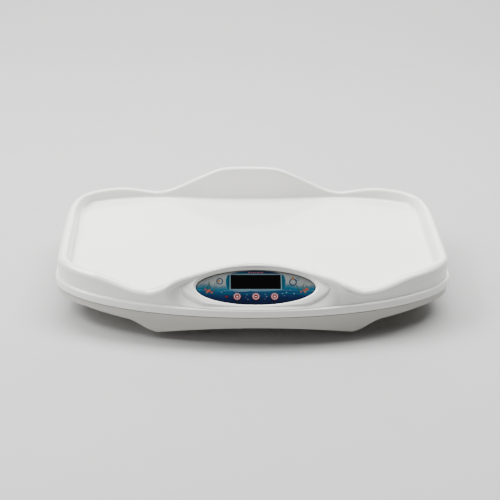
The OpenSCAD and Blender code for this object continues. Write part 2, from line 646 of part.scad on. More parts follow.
// The pedestal's front view, raised by k and stopped at a height
module front_view(k, top) {
    rotate([90, 0, 0]) translate([0, 0, -260]) linear_extrude(height = 520)
        polygon(concat([for (x = soffit_x) [x * (k > 0 ? 0.985 : 1), min(top - 0.01, soffit(x) + k)]],
            [[pedestal_w + 120, top], [-pedestal_w - 120, top]]));
}
module at_feet() {
    for (x = [-1, 1], y = [foot_front_y, foot_back_y]) translate([x * foot_x, y, 0]) children();
}
module power_posts() {
    for (x = [-power_post_x, power_post_x], y = [-power_post_y, power_post_y])
        translate([power_board_x + x, power_board_y + y, 0]) children();
}
module base_shell() {
    color([0.9, 0.88, 0.84]) difference() {
        union() {
            difference() {
                union() {
                    translate([0, 0, wing_z]) linear_extrude(height = base_top - wing_z) base_outline(band_in);
                    intersection() {
                        linear_extrude(height = wing_z + 1) base_outline(pedestal_in);
                        front_view(0, wing_z + 1);
                    }
                }
                translate([0, 0, wing_z + base_wall]) linear_extrude(height = 40) base_outline(base_in);
                intersection() {
                    linear_extrude(height = wing_z + base_wall + 1) base_outline(pedestal_in + base_wall);
                    front_view(base_wall + 0.4, wing_z + base_wall + 1);
                }
            }
            // Recessed wall for the switch and the charging socket
            translate([switch_x - 18, back_panel_y - base_wall, socket_z - 10.3]) cube([68, base_wall + 7.4, base_top - socket_z + 10.3]);
            // Battery box
            translate([battery_x - 25, -23, battery_z]) cube([50, 86, 24]);
            // Bosses under the mounting plate, the stops, the board and the feet
            for (x = [-plate_screw_x, plate_screw_x], y = [-plate_screw_y, plate_screw_y]) translate([x, cell_y + y, soffit(plate_screw_x)]) cylinder(r = 5, h = mount_z - soffit(plate_screw_x));
            at_stops() translate([0, 0, soffit(frame_screw_x)]) cylinder(r = 6, h = 40 - soffit(frame_screw_x));
            for (x = [power_board_x - power_post_x, power_board_x + power_post_x], y = [-power_post_y, power_post_y])
                translate([x, power_board_y + y, soffit(x) + 0.5]) cylinder(r = 3.4, h = power_board_z - soffit(x) - 0.5);
            at_feet() translate([0, 0, skirt_z]) cylinder(r = foot_r + 2.5, h = 11);
        }
        // Room in front of the recessed wall
        translate([switch_x - 15.5, back_panel_y, socket_z - 7.9]) cube([63, 20, 15.8]);
        translate([switch_x - 9.7, back_panel_y - 5, socket_z - 6.6]) cube([19.4, 10, 13.2]);
        translate([socket_x, back_panel_y + 5, socket_z]) rotate([90, 0, 0]) cylinder(r = 4.1, h = 12);
        // Battery box, its mouth and the screw post
        difference() {
            union() {
                translate([battery_x - 20.5, -18.5, battery_z - 1]) cube([41, 77, 23]);
                translate([battery_x - 22.6, -20.6, battery_z - 1]) cube([45.2, 81.2, 3]);
            }
            translate([battery_x, 54.8, battery_z + 2]) cylinder(r = 3.6, h = 30);
        }
        translate([battery_x, 54.8, battery_z - 1]) cylinder(r = 1.5, h = 14);
        translate([battery_x + 15, 30, battery_z + 12]) rotate([0, 90, 0]) cylinder(r = 2.4, h = 14);
        // Screw holes
        for (x = [-plate_screw_x, plate_screw_x], y = [-plate_screw_y, plate_screw_y]) translate([x, cell_y + y, mount_z - 5.3]) cylinder(r = screw_r + hole_gap, h = 7);
        at_stops() translate([0, 0, 26]) cylinder(r = bolt_r + 0.05, h = 20);
        power_posts() translate([0, 0, power_board_z - 4]) cylinder(r = 1.25, h = 8);
        at_feet() translate([0, 0, skirt_z - 1]) cylinder(r = 1.55, h = 10.4);
    }
}
module feet() {
    color([0.16, 0.16, 0.17]) at_feet() rotate_extrude()
        polygon([[4, 3.4], [4, 0], [foot_r - 0.8, 0], [foot_r, 0.8], [foot_r - 0.5, skirt_z], [1.8, skirt_z], [1.8, 3.4]]);
}
module foot_screws() {
    color([0.7, 0.7, 0.72]) at_feet() translate([0, 0, 3.4]) hex_bolt(1.5, skirt_z + 6 - 3.4, 2.2, 3.4);
}

// ---- Battery, board, switch and socket ------------------------------------------------

module battery_pack() {
    color([0.12, 0.3, 0.6]) translate([battery_x, 0, battery_z + 2.2 + battery_r]) {
        for (x = [-1, 1]) translate([x * 9.2, -18, 0]) rotate([-90, 0, 0]) cylinder(r = battery_r, h = battery_l);
        translate([-9.2, -18, -battery_r + 0.05]) cube([18.4, battery_l, 2 * battery_r - 0.1]);
    }
}
module battery_pad() {
    color([0.25, 0.25, 0.26]) translate([battery_x - 15, -12, battery_z + 2.2 + 2 * battery_r]) cube([30, 55, 22 - 2.2 - 2 * battery_r]);
}
module battery_door() {
    color([0.9, 0.88, 0.84]) difference() {
        union() {
            translate([battery_x - 22.3, -20.3, battery_z]) cube([44.6, 80.6, 2]);
            // Two ribs that the pack rests on
            for (x = [-9.2, 9.2]) translate([battery_x + x - 1, -14, battery_z + 1.9]) cube([2, 58, 0.3]);
        }
        translate([battery_x, 54.8, battery_z - 1]) cylinder(r = 1.8, h = 4);
        translate([battery_x, 54.8, battery_z - 1]) cylinder(r = 3.3, h = 2.1);
        for (x = [-12:3:12]) translate([battery_x + x - 0.5, -17, battery_z - 1]) cube([1, 8, 1.4]);
    }
}
module door_screw() {
    color([0.7, 0.7, 0.72]) translate([battery_x, 54.8, battery_z + 1.1]) hex_bolt(1.4, 10, 1.1, 3);
}
module power_board() {
    color([0.1, 0.35, 0.2]) difference() {
        translate([power_board_x - power_post_x - 5, power_board_y - power_post_y - 5, power_board_z])
            cube([2 * power_post_x + 10, 2 * power_post_y + 10, board_t]);
        power_posts() translate([0, 0, power_board_z - 1]) cylinder(r = 1.5, h = 4);
    }
}
module power_board_parts() {
    color([0.2, 0.2, 0.22]) translate([power_board_x, power_board_y, power_board_z + board_t]) {
        translate([-4, 12, 0]) cube([16, 8, 9]);
        translate([-19, -10, 0]) cylinder(r = 4, h = 11);
        translate([-19, 2, 0]) cylinder(r = 4, h = 11);
        translate([-8, -14, 0]) cube([12, 10, 1.6]);
        translate([10, -16, 0]) cube([9, 9, 5]);
        translate([10, -2, 0]) cylinder(r = 5, h = 6);
        translate([-12, -20, 0]) cube([14, 4.5, 6]);
    }
}
module power_board_screws() {
    color([0.7, 0.7, 0.72]) power_posts() translate([0, 0, power_board_z + board_t]) mirror([0, 0, 1]) hex_bolt(1.15, 5.2, 1.8, 2.6);
}
module switch_body() {
    color([0.08, 0.08, 0.09]) translate([switch_x, back_panel_y, socket_z]) difference() {
        union() {
            translate([-10.5, 0, -7.5]) cube([21, 1.8, 15]);
            translate([-9.4, -16, -6.3]) cube([18.8, 16.5, 12.6]);
            for (x = [-5, 3.4]) translate([x, -21, -2.4]) cube([0.8, 5.5, 4.8]);
        }
        translate([-8.4, -7.5, -5.3]) cube([16.8, 12, 10.6]);
        translate([0, -0.5, -6]) cylinder(r = 1.5, h = 12);
    }
}
module rocker() {
    // Modelled tipped to its off side, turning on a pin along Z
    color([0.75, 0.08, 0.06]) translate([switch_x, back_panel_y - 0.5, socket_z]) rotate([0, 0, rocker_tilt])
        union() {
            translate([0, 0, -4.9]) linear_extrude(height = 9.8)
                polygon([[-7.6, -2.2], [0, -4], [7.6, -2.2], [7.6, 2.4], [0, 1.6], [-7.6, 2.4]]);
            translate([0, 0, -5.8]) cylinder(r = 1.2, h = 11.6);
        }
}
module charge_socket() {
    color([0.1, 0.1, 0.11]) translate([socket_x, back_panel_y, socket_z]) rotate([-90, 0, 0]) difference() {
        union() {
            cylinder(r = 5.6, h = 1.4);
            translate([0, 0, -13]) cylinder(r = 3.95, h = 13.5);
            for (x = [-2.4, 1.6]) translate([x, -1.2, -17]) cube([0.8, 2.4, 4.5]);
        }
        difference() {
            translate([0, 0, -9]) cylinder(r = 2.75, h = 12);
            translate([0, 0, -10]) cylinder(r = 1, h = 10);
        }
    }
}
module socket_nut() {
    color([0.7, 0.7, 0.72]) translate([socket_x, back_panel_y - base_wall, socket_z]) rotate([90, 0, 0]) difference() {
        cylinder(r = 5.8, h = 2.2, $fn = 6);
        translate([0, 0, -1]) cylinder(r = 4, h = 5);
    }
}

// ---- Leads --------------------------------------------------------------------------

module lead(points, r) {
    for (i = [0:len(points) - 2]) hull() {
        translate(points[i]) sphere(r = r, $fn = 8);
        translate(points[i + 1]) sphere(r = r, $fn = 8);
    }
}
// A point of the panel's own frame, in the part's frame
function panel_pt(p) = [p[0], panel_y + p[1] * cos(panel_tilt) - p[2] * sin(panel_tilt),
    panel_z + p[1] * sin(panel_tilt) + p[2] * cos(panel_tilt)];
module load_cell_lead() {
    z = cell_z + 3.4;
    color([0.75, 0.75, 0.76]) resize([0, 0, 0]) lead(concat(
        [[cell_l / 2 - 4.3, cell_y, z], [cell_l / 2 + 8, cell_y, z], [cell_l / 2 + 14, cell_y - 6, z + 1], [76, -10, 40],
            [76, -60, 40], [70, -92, 46], [56, -112, 50]],
        [panel_pt([45, -22, -16.5]), panel_pt([43, -17, -16.5]), panel_pt([43, -13.8, -16.5])]), 1.6);
}
module display_lead() {
    z = power_board_z + board_t + 3;
    y = power_board_y;
    color([0.15, 0.15, 0.16]) resize([0, 0, 0]) for (k = [-1, 0, 1]) translate([k * 1.9, 0, 0]) lead(concat(
        [[power_board_x - 7, y - 21, z], [power_board_x - 7, y - 30, z], [30, y - 44, 37], [0, 56, 41], [-80, 40, 41], [-84, 0, 41], [-78, -60, 41], [-62, -100, 48]],
        [panel_pt([-44, -20, -17]), panel_pt([-42, -14, -16]), panel_pt([-42, -10.9, -16])]), 0.7);
}
module power_leads() {
    zb = battery_z + 12;
    y = power_board_y;
    w = back_panel_y;
    color([0.7, 0.12, 0.1]) resize([0, 0, 0]) for (k = [0, 1]) {
        lead([[battery_x + 9.2 + battery_r + 0.9, 29 + k * 1.9, zb], [battery_x + 30 - k * 2, 29 + k * 1.9, zb + 1], [-80 - k * 2, 60 + k * 2, 28],
            [-30, 74 + k * 2, 32], [20, y - 6 + k * 2, 33 + k * 2], [26 - k * 2.6, y + 6 + k * 2, 36], [power_board_x - 4.8, y + 14 + k * 3, 36]], 0.7);
        lead([[switch_x - 4.6 + k * 8.4, w - 21.8, socket_z], [switch_x - 4.6 + k * 8.4, w - 25, socket_z + 1], [power_board_x - 2 + k * 6, y + 20.8, 37]], 0.7);
        lead([[socket_x - 2 + k * 4, w - 17.8, socket_z], [socket_x - 4 + k * 4, w - 22, socket_z + 1], [power_board_x + 24, y + 22 - k * 3, 37], [power_board_x + 12.8, y + 17 - k * 3, 37]], 0.7);
    }
}

tray();
fascia();
window();
digit_modules();
digit_segments();
display_board();
display_board_parts();
tact_switches();
charge_lamp();
board_screws();
key_left();
key_middle();
key_right();
plunger_left();
plunger_middle();
plunger_right();
carrier_frame();
frame_spacer();
frame_bolts();
tray_screws();
load_cell();
gauge_cover();
mount_spacer();
mount_plate();
mount_bolts();
mount_screws();
stop_screws();
stop_nuts();
base_shell();
feet();
foot_screws();
battery_pack();
battery_pad();
battery_door();
door_screw();
power_board();
power_board_parts();
power_board_screws();
switch_body();
rocker();
charge_socket();
socket_nut();
load_cell_lead();
display_lead();
power_leads();
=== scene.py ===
"""Looks of a digital baby weighing scale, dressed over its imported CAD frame.

Lengths in the form classes are millimetres in the row frame and become metres where a mesh is made.
"""
from __future__ import annotations

import logging
import math
from dataclasses import dataclass, field
from enum import Enum
from typing import Callable, Sequence

import bpy
from mathutils import Matrix, Vector

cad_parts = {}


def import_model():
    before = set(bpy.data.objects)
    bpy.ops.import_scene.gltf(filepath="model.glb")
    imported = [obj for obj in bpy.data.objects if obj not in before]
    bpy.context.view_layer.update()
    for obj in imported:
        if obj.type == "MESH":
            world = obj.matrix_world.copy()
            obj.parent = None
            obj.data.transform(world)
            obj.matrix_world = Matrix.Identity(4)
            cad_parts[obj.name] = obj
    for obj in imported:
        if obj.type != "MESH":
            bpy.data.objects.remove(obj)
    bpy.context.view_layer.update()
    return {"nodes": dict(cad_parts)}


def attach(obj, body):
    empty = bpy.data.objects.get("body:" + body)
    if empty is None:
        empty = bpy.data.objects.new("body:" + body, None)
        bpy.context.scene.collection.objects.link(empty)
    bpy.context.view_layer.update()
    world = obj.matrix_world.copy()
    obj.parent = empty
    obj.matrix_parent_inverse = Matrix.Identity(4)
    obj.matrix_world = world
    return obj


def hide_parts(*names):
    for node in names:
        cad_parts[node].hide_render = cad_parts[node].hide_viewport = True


LOG = logging.getLogger("scale")
MM = 0.001
CABLE_R = 1.6
WIRE_R = 0.7
PLASTIC_IOR = 1.49
COAT_ROUGHNESS = 0.08
BRUSH_STRETCH = (0.06, 1.0, 1.0)
BUMP_DEPTH = 0.0002
DRIFT_SCALE = 14.0
Point = tuple[float, float, float]
Flat = tuple[float, float]


# ---- Finishes -------------------------------------------------------------------


class Surface(Enum):
    """How a finish breaks up its base colour."""

    MOULDED = "moulded"
    BRUSHED = "brushed"
    PRINTED = "printed"


@dataclass(frozen=True)
class Finish:
    """One procedural material."""

    slot: str
    colour: tuple[float, float, float]
    roughness: float = 0.35
    surface: Surface = Surface.MOULDED
    drift: float = 0.03
    grain: float = 900.0
    bump: float = 0.02
    coat: float = 0.0
    metallic: float = 0.0
    shine: float = 0.5

    def material(self, name: str) -> bpy.types.Material:
        """Makes the node material.

        Args:
            name: The material's name.

        Returns:
            The material, with its colour, roughness and bump driven by noise.
        """
        mat = bpy.data.materials.new(name)
        mat.use_nodes = True
        tree = mat.node_tree
        node, link = tree.nodes, tree.links
        shader = node["Principled BSDF"]
        shader.inputs["Metallic"].default_value = self.metallic
        shader.inputs["Coat Weight"].default_value = self.coat
        shader.inputs["Coat Roughness"].default_value = COAT_ROUGHNESS
        shader.inputs["IOR"].default_value = PLASTIC_IOR
        shader.inputs["Specular IOR Level"].default_value = self.shine
        coords = node.new("ShaderNodeTexCoord")
        place = node.new("ShaderNodeMapping")
        if self.surface is Surface.BRUSHED:
            place.inputs["Scale"].default_value = BRUSH_STRETCH
        link.new(coords.outputs["Object"], place.inputs["Vector"])
        fine = node.new("ShaderNodeTexNoise")
        fine.inputs["Scale"].default_value = self.grain
        fine.inputs["Detail"].default_value = 4.0
        broad = node.new("ShaderNodeTexNoise")
        broad.inputs["Scale"].default_value = DRIFT_SCALE
        broad.inputs["Detail"].default_value = 3.0
        for tex in (fine, broad):
            link.new(place.outputs["Vector"], tex.inputs["Vector"])
        ramp = node.new("ShaderNodeValToRGB")
        low = [max(0.0, c * (1.0 - self.drift)) for c in self.colour]
        high = [min(1.0, c * (1.0 + self.drift)) for c in self.colour]
        ramp.color_ramp.elements[0].position = 0.3
        ramp.color_ramp.elements[1].position = 0.7
        ramp.color_ramp.elements[0].color = (*low, 1.0)
        ramp.color_ramp.elements[1].color = (*high, 1.0)
        link.new(broad.outputs["Fac"], ramp.inputs["Fac"])
        link.new(ramp.outputs["Color"], shader.inputs["Base Color"])
        rough = node.new("ShaderNodeMapRange")
        rough.inputs["To Min"].default_value = self.roughness * 0.85
        rough.inputs["To Max"].default_value = min(1.0, self.roughness * 1.2)
        link.new(fine.outputs["Fac"], rough.inputs["Value"])
        link.new(rough.outputs["Result"], shader.inputs["Roughness"])
        bump = node.new("ShaderNodeBump")
        bump.inputs["Strength"].default_value = self.bump
        bump.inputs["Distance"].default_value = BUMP_DEPTH
        link.new(fine.outputs["Fac"], bump.inputs["Height"])
        link.new(bump.outputs["Normal"], shader.inputs["Normal"])
        return mat


FINISHES = {
    "tray": Finish("tray_plastic", (0.86, 0.86, 0.815), 0.13, drift=0.012, grain=700.0, bump=0.015, coat=0.5),
    "base": Finish("base_plastic", (0.49, 0.48, 0.435), 0.3, drift=0.015, grain=900.0, bump=0.05, coat=0.1),
    "fascia": Finish("fascia_film", (0.05, 0.2, 0.42), 0.3, Surface.PRINTED, bump=0.01, shine=0.2),
    "window": Finish("smoked_window", (0.0015, 0.0015, 0.0018), 0.05, drift=0.1, grain=300.0, bump=0.003, shine=0.25),
    "module": Finish("module_black", (0.02, 0.02, 0.022), 0.6, grain=1500.0, bump=0.1),
    "segment": Finish("segment_red", (0.12, 0.02, 0.018), 0.3, drift=0.15, grain=2500.0),
    "board": Finish("board_green", (0.03, 0.16, 0.07), 0.35, drift=0.1, grain=1800.0, bump=0.08, coat=0.3),
    "chips": Finish("chip_black", (0.03, 0.03, 0.033), 0.5, drift=0.15, grain=2200.0, bump=0.12),
    "lamp": Finish("lamp_red", (0.10, 0.006, 0.008), 0.2, drift=0.08, coat=0.6),
    "steel": Finish("screw_steel", (0.62, 0.62, 0.64), 0.28, Surface.BRUSHED, drift=0.06, metallic=1.0, bump=0.05),
    "sheet": Finish("sheet_steel", (0.5, 0.51, 0.53), 0.38, Surface.BRUSHED, drift=0.1, metallic=1.0, bump=0.08),
    "aluminium": Finish("cell_aluminium", (0.72, 0.73, 0.74), 0.32, Surface.BRUSHED, drift=0.05, metallic=1.0,
                        bump=0.08),
    "sealant": Finish("sealant_white", (0.82, 0.81, 0.77), 0.5, drift=0.05, grain=400.0, bump=0.25),
    "foot": Finish("foot_rubber", (0.022, 0.022, 0.024), 0.75, drift=0.2, grain=1600.0, bump=0.3),
    "key": Finish("key_rubber", (0.05, 0.012, 0.022), 0.5, drift=0.04, grain=1600.0, bump=0.12, shine=0.3),
    "plunger": Finish("plunger_white", (0.74, 0.72, 0.66), 0.45, drift=0.03, bump=0.05),
    "battery": Finish("battery_sleeve", (0.02, 0.08, 0.3), 0.25, drift=0.06, grain=500.0, coat=0.4),
    "foam": Finish("foam_grey", (0.1, 0.1, 0.11), 0.95, drift=0.3, grain=1400.0, bump=0.6),
    "switch": Finish("switch_black", (0.018, 0.018, 0.02), 0.45, drift=0.15, grain=1300.0, bump=0.15),
    "rocker": Finish("rocker_red", (0.42, 0.012, 0.012), 0.2, drift=0.05, coat=0.5),
    "lead_grey": Finish("lead_grey", (0.35, 0.35, 0.37), 0.5, drift=0.08, grain=1200.0, bump=0.1),
    "lead_black": Finish("lead_black", (0.03, 0.03, 0.033), 0.5, drift=0.15, grain=1200.0, bump=0.1),
    "lead_red": Finish("lead_red", (0.42, 0.02, 0.018), 0.45, drift=0.08, grain=1200.0, bump=0.1),
}


class Wardrobe:
    """Makes each material once and puts it on pieces."""

    def __init__(self) -> None:
        self.made: dict[str, bpy.types.Material] = {}

    def get(self, key: str) -> bpy.types.Material:
        """Args: key: a name in FINISHES. Returns: its material."""
        if key not in self.made:
            self.made[key] = FINISHES[key].material(key)
        return self.made[key]

    def dress(self, obj: bpy.types.Object, key: str) -> None:
        """Puts one finish on every slot of obj.

        Args:
            obj: The piece or CAD node.
            key: A name in FINISHES.
        """
        mat = self.get(key)
        if obj.data.materials:
            for i in range(len(obj.data.materials)):
                obj.data.materials[i] = mat
        else:
            obj.data.materials.append(mat)


# ---- Mesh helpers -----------------------------------------------------------------


def mesh_object(name: str, points: Sequence[Sequence[float]], faces: Sequence[Sequence[int]],
                smooth: bool = True) -> bpy.types.Object:
    """Args: name, points in millimetres and faces. Returns: a linked mesh object in metres."""
    mesh = bpy.data.meshes.new(name)
    mesh.from_pydata([tuple(c * MM for c in p) for p in points], [], [tuple(f) for f in faces])
    mesh.validate()
    obj = bpy.data.objects.new(name, mesh)
    bpy.context.scene.collection.objects.link(obj)
    if smooth:
        mesh.shade_smooth()
    return obj


def loft(name: str, rings: Sequence[Sequence[Point]], bottom: Point | None = None,
         top: Point | None = None) -> bpy.types.Object:
    """Skins closed rings of points into one closed mesh.

    Args:
        name: The object's name.
        rings: Rings of one length, counter-clockwise from above, lowest first.
        bottom: A point that closes the first ring, or None for one face.
        top: A point that closes the last ring, or None for one face.

    Returns:
        The linked object.
    """
    n = len(rings[0])
    points = [p for r in rings for p in r]
    faces = [(i * n + j, i * n + (j + 1) % n, (i + 1) * n + (j + 1) % n, (i + 1) * n + j)
             for i in range(len(rings) - 1) for j in range(n)]
    last = (len(rings) - 1) * n
    if bottom is None:
        faces.append(tuple(range(n - 1, -1, -1)))
    else:
        points.append(bottom)
        faces += [(len(points) - 1, (j + 1) % n, j) for j in range(n)]
    if top is None:
        faces.append(tuple(range(last, last + n)))
    else:
        points.append(top)
        faces += [(len(points) - 1, last + j, last + (j + 1) % n) for j in range(n)]
    return mesh_object(name, points, faces)


def combine(obj: bpy.types.Object, others: Sequence[bpy.types.Object], operation: str) -> bpy.types.Object:
    """Applies a boolean of obj with each other object, and removes the others.

    Args:
        obj: The piece that is kept.
        others: Closed meshes.
        operation: UNION, DIFFERENCE or INTERSECT.

    Returns:
        obj, with its mesh replaced.
    """
    for other in others:
        mod = obj.modifiers.new("cut", "BOOLEAN")
        mod.operation, mod.object, mod.solver = operation, other, "MANIFOLD"
        settle(obj)
        bpy.data.objects.remove(other, do_unlink=True)
    return obj


def settle(obj: bpy.types.Object) -> None:
    """Applies every modifier on obj.

    Args:
        obj: The piece, whose mesh is replaced.
    """
    graph = bpy.context.evaluated_depsgraph_get()
    graph.update()
    mesh = bpy.data.meshes.new_from_object(obj.evaluated_get(graph))
    old = obj.data
    obj.modifiers.clear()
    obj.data = mesh
    mesh.name = obj.name
    bpy.data.meshes.remove(old)


def crease(obj: bpy.types.Object, degrees: float) -> None:
    """Shades obj smooth, with edges sharper than the angle kept sharp."""
    obj.data.shade_smooth()
    obj.data.set_sharp_from_angle(angle=math.radians(degrees))


def spline(points: Sequence[Sequence[float]], steps: int) -> list[tuple[float, ...]]:
    """Catmull-Rom points through the given ones.

    Args:
        points: Two or more points of any dimension.
        steps: Pieces that each span is cut into.

    Returns:
        The dense points, first and last kept.
    """
    pts = [tuple(p) for p in points]
    pts = [pts[0]] + pts + [pts[-1]]
    out = []
    for a, b, c, d in zip(pts, pts[1:], pts[2:], pts[3:]):
        for k in range(steps):
            t = k / steps
            out.append(tuple(0.5 * (2 * q + (r - p) * t + (2 * p - 5 * q + 4 * r - s) * t * t
                                    + (3 * q - p - 3 * r + s) * t ** 3)
                             for p, q, r, s in zip(a, b, c, d)))
    return out + [pts[-1]]


def quarter(parts: int, steps: Sequence[int]) -> list[float]:
    """Angles of the given steps where a quarter turn is cut into parts."""
    return [math.pi / 2 * k / parts for k in steps]


def turn(n: int, offset: float = 0.0) -> list[float]:
    """n angles all round, in radians."""
    return [2 * math.pi * (i + offset) / n for i in range(n)]


def step(v: float) -> float:
    """Smooth step from 0 to 1."""
    k = min(1.0, max(0.0, v))
    return k * k * (3 - 2 * k)


# ---- Forms ----------------------------------------------------------------------


@dataclass(frozen=True)
class Spoke:
    """One section of the tray: the back half's outline or the front's, at an angle."""

    back: bool
    angle: float


@dataclass(frozen=True)
class TrayForm:
    """The tray's sections, by the same sizes as the solid it stands for."""

    half_w: float = 280.0
    front_d: float = 108.5
    back_d: float = 228.5
    back_n: float = 6.5
    wide_y: float = -60.0
    flange_z: float = 43.5
    flange_top: float = 55.5
    floor_z: float = 69.0
    floor_dip: float = 6.0
    mid_y: float = 25.0
    wall: float = 2.6
    crest_in: float = 12.0
    pod_reach: float = 36.5

    def edge(self, s: Spoke) -> Flat:
        """The outline's point on a spoke.

        Args:
            s: The spoke.

        Returns:
            Its place across and back, from the widest line.
        """
        c, d = math.cos(math.radians(s.angle)), math.sin(math.radians(s.angle))
        if not s.back:
            return self.half_w * c, self.front_d * d
        r = (abs(c / self.half_w) ** self.back_n + abs(d / self.back_d) ** self.back_n) ** (-1 / self.back_n)
        return r * c, r * d

    def inset(self, s: Spoke, u: float) -> Flat:
        """The point some way inside the outline.

        Args:
            s: The spoke.
            u: The distance, square to the outline.

        Returns:
            The point in the row frame.
        """
        x, y = self.edge(s)
        if s.back:
            gx = math.copysign((abs(x) / self.half_w) ** (self.back_n - 1) / self.half_w, x)
            gy = (abs(y) / self.back_d) ** (self.back_n - 1) / self.back_d
        else:
            gx, gy = x / self.half_w ** 2, y / self.front_d ** 2
        g = math.hypot(gx, gy)
        return x - gx / g * u, y - gy / g * u + self.wide_y

    def backness(self, s: Spoke) -> float:
        """How far the spoke is toward the straight back."""
        return step((self.edge(s)[1] - 0.45 * self.back_d) / (0.4 * self.back_d)) if s.back else 0.0

    def crest(self, s: Spoke) -> float:
        """How far inside the outline the rim's crest lies.

        Args:
            s: The spoke.

        Returns:
            The distance, larger behind the display.
        """
        if s.back:
            return self.crest_in - 2.5 * self.backness(s)
        w = max(0.0, 1 - abs(self.edge(s)[0]) / 124)
        v = w * w / (w + 0.06)
        return self.crest_in + self.pod_reach * (1 - (1 - v) ** 3)

    def rim(self, s: Spoke) -> float:
        """Height of the rim's crest.

        Args:
            s: The spoke.

        Returns:
            The height, with the back hump, the side rise and the rise over the display.
        """
        a = abs(self.inset(s, self.crest_in)[0])
        if s.back:
            return (77 + 8.5 * step((a - 135) / 65) - 0.5 * step((a - 205) / 45) + 40 * step((148 - a) / 118.4)
                    + 2.5 * max(0.0, 1 - (2 * a / 148) ** 2) ** 1.5)
        if a > 155:
            return 73 + 12 * step((a - 158) / 64)
        return 73 + 18.5 * step((150 - a) / 48) + 9.8 * max(0.0, 1 - (a / 106) ** 2) ** 1.5

    def wall_turns(self, s: Spoke) -> tuple[float, float, float, float, float]:
        """Sizes of the lip, the inner wall and its fillet.

        Args:
            s: The spoke.

        Returns:
            Lip radius, wall angle, inner lip radius, fillet radius and where the floor starts.
        """
        b = self.backness(s)
        over_pod = 0.0 if s.back else (self.crest(s) - self.crest_in) / self.pod_reach
        r, p = 8 - 3.5 * b - 2.2 * over_pod, math.radians(70 + 12 * b)
        fall = self.rim(s) - self.floor_z
        most = 0.48 * fall / (1 - math.cos(p))
        r2, q = min(r, most), min(6.0, most)
        floor = self.crest(s) + (r2 + q) * math.sin(p) + (fall - (r2 + q) * (1 - math.cos(p))) / math.tan(p)
        return r, p, r2, q, floor

    def tuck(self, r: float, zc: float) -> float:
        """How far under the lip's middle, at zc, a lip of radius r runs into the wall."""
        return max(0.34 * r + 0.5, min(4, 0.25 * (zc - self.flange_top)))

    def outer(self, s: Spoke) -> list[tuple[float, ...]]:
        """The outside's section, from the flange up and over to the floor.

        Args:
            s: The spoke.

        Returns:
            Points as distance in and height.
        """
        top, c, z = self.flange_top, self.crest(s), self.rim(s)
        r, p, r2, q, f = self.wall_turns(s)
        zc, z2 = z - r, z - r2
        arc = [(2.4 - 2.4 * math.cos(t), self.flange_z + 1.8 - 1.8 * math.sin(t)) for t in quarter(5, range(5, -1, -1))]
        arc += [(2.8 - 2.8 * math.cos(t), top - 3.2 + 3.2 * math.sin(t)) for t in quarter(6, range(7))]
        under = math.radians(20)
        rise = spline([(2.8, top), (3.6, top + 0.25), (4.1, top + 1.0), (4.3, top + 3),
                       (c - r + 0.6, zc - self.tuck(r, zc)), (c - r * math.cos(under), zc - r * math.sin(under)),
                       (c - r, zc + 0.8)], 4)
        lip = [(c - r * math.cos(t), zc + r * math.sin(t)) for t in quarter(8, range(2, 9))]
        over = [(c + r2 * math.sin(p * k / 8), z2 + r2 * math.cos(p * k / 8)) for k in range(1, 9)]
        run = (f - q * math.sin(p), self.floor_z + q * (1 - math.cos(p)))
        wall = [tuple(a + (b - a) * k / 4 for a, b in zip(over[-1], run)) for k in range(1, 4)]
        turns = [p * (1 - k / 7) for k in range(8)]
        foot = [(f - q * math.sin(t), self.floor_z + q * (1 - math.cos(t))) for t in turns]
        return arc + rise[1:-1] + lip + over + wall + foot

    def inner(self, s: Spoke) -> list[tuple[float, ...]]:
        """The inside's section, from the flange to the floor.

        Args:
            s: The spoke.

        Returns:
            Points as distance in and height.
        """
        top, w, c, z = self.flange_top, self.wall, self.crest(s), self.rim(s)
        r, p, r2, q, f = self.wall_turns(s)
        zc, z2, ri, q2 = z - r, z - r2, max(0.6, r2 - w), q + w
        up = math.radians(35)
        return spline([(w, self.flange_z - 1), (w, top - w - 0.8), (w + 1, top - w), (5.2, top - w + 0.5),
                       (6.2, top + 1.6), (c - r + 0.6 + w, min(zc, z2 - 0.3) - self.tuck(r, zc)),
                       (c - ri * math.cos(up), z2 + ri * math.sin(up)), (c, z2 + ri),
                       (c + ri * math.sin(p), z2 + ri * math.cos(p)),
                       (f - q2 * math.sin(p), self.floor_z + q - q2 * math.cos(p)), (f, self.floor_z - w)], 2)

    def spokes(self, half: int) -> list[Spoke]:
        """Spokes all round, counter-clockwise from the right, half of them at the back."""
        return ([Spoke(True, 180 * i / half) for i in range(half)]
                + [Spoke(False, 180 + 180 * i / half) for i in range(half)])

    def skin(self, name: str, section: Callable[[Spoke], list], drop: float, start: float,
             half: int = 220) -> bpy.types.Object:
        """Lofts one side of the shell.

        Args:
            name: The object's name.
            section: outer or inner.
            drop: How far the floor lies under the outside's.
            start: Height of the closing point at the flange.
            half: Spokes in each half.

        Returns:
            A closed mesh.
        """
        spokes = self.spokes(half)
        cuts = [section(s) for s in spokes]
        rings = [[(*self.inset(s, c[i][0]), c[i][1]) for s, c in zip(spokes, cuts)] for i in range(len(cuts[0]))]
        level = self.floor_z - drop
        for k in (0.97, 0.9, 0.8, 0.68, 0.54, 0.4, 0.26, 0.13):
            ring = []
            for s in spokes:
                x, y = self.inset(s, self.wall_turns(s)[4])
                ring.append((x * k, self.mid_y + (y - self.mid_y) * k, level - self.floor_dip * (1 - k * k)))
            rings.append(ring)
        return loft(name, rings, (0, self.mid_y, start), (0, self.mid_y, level - self.floor_dip))


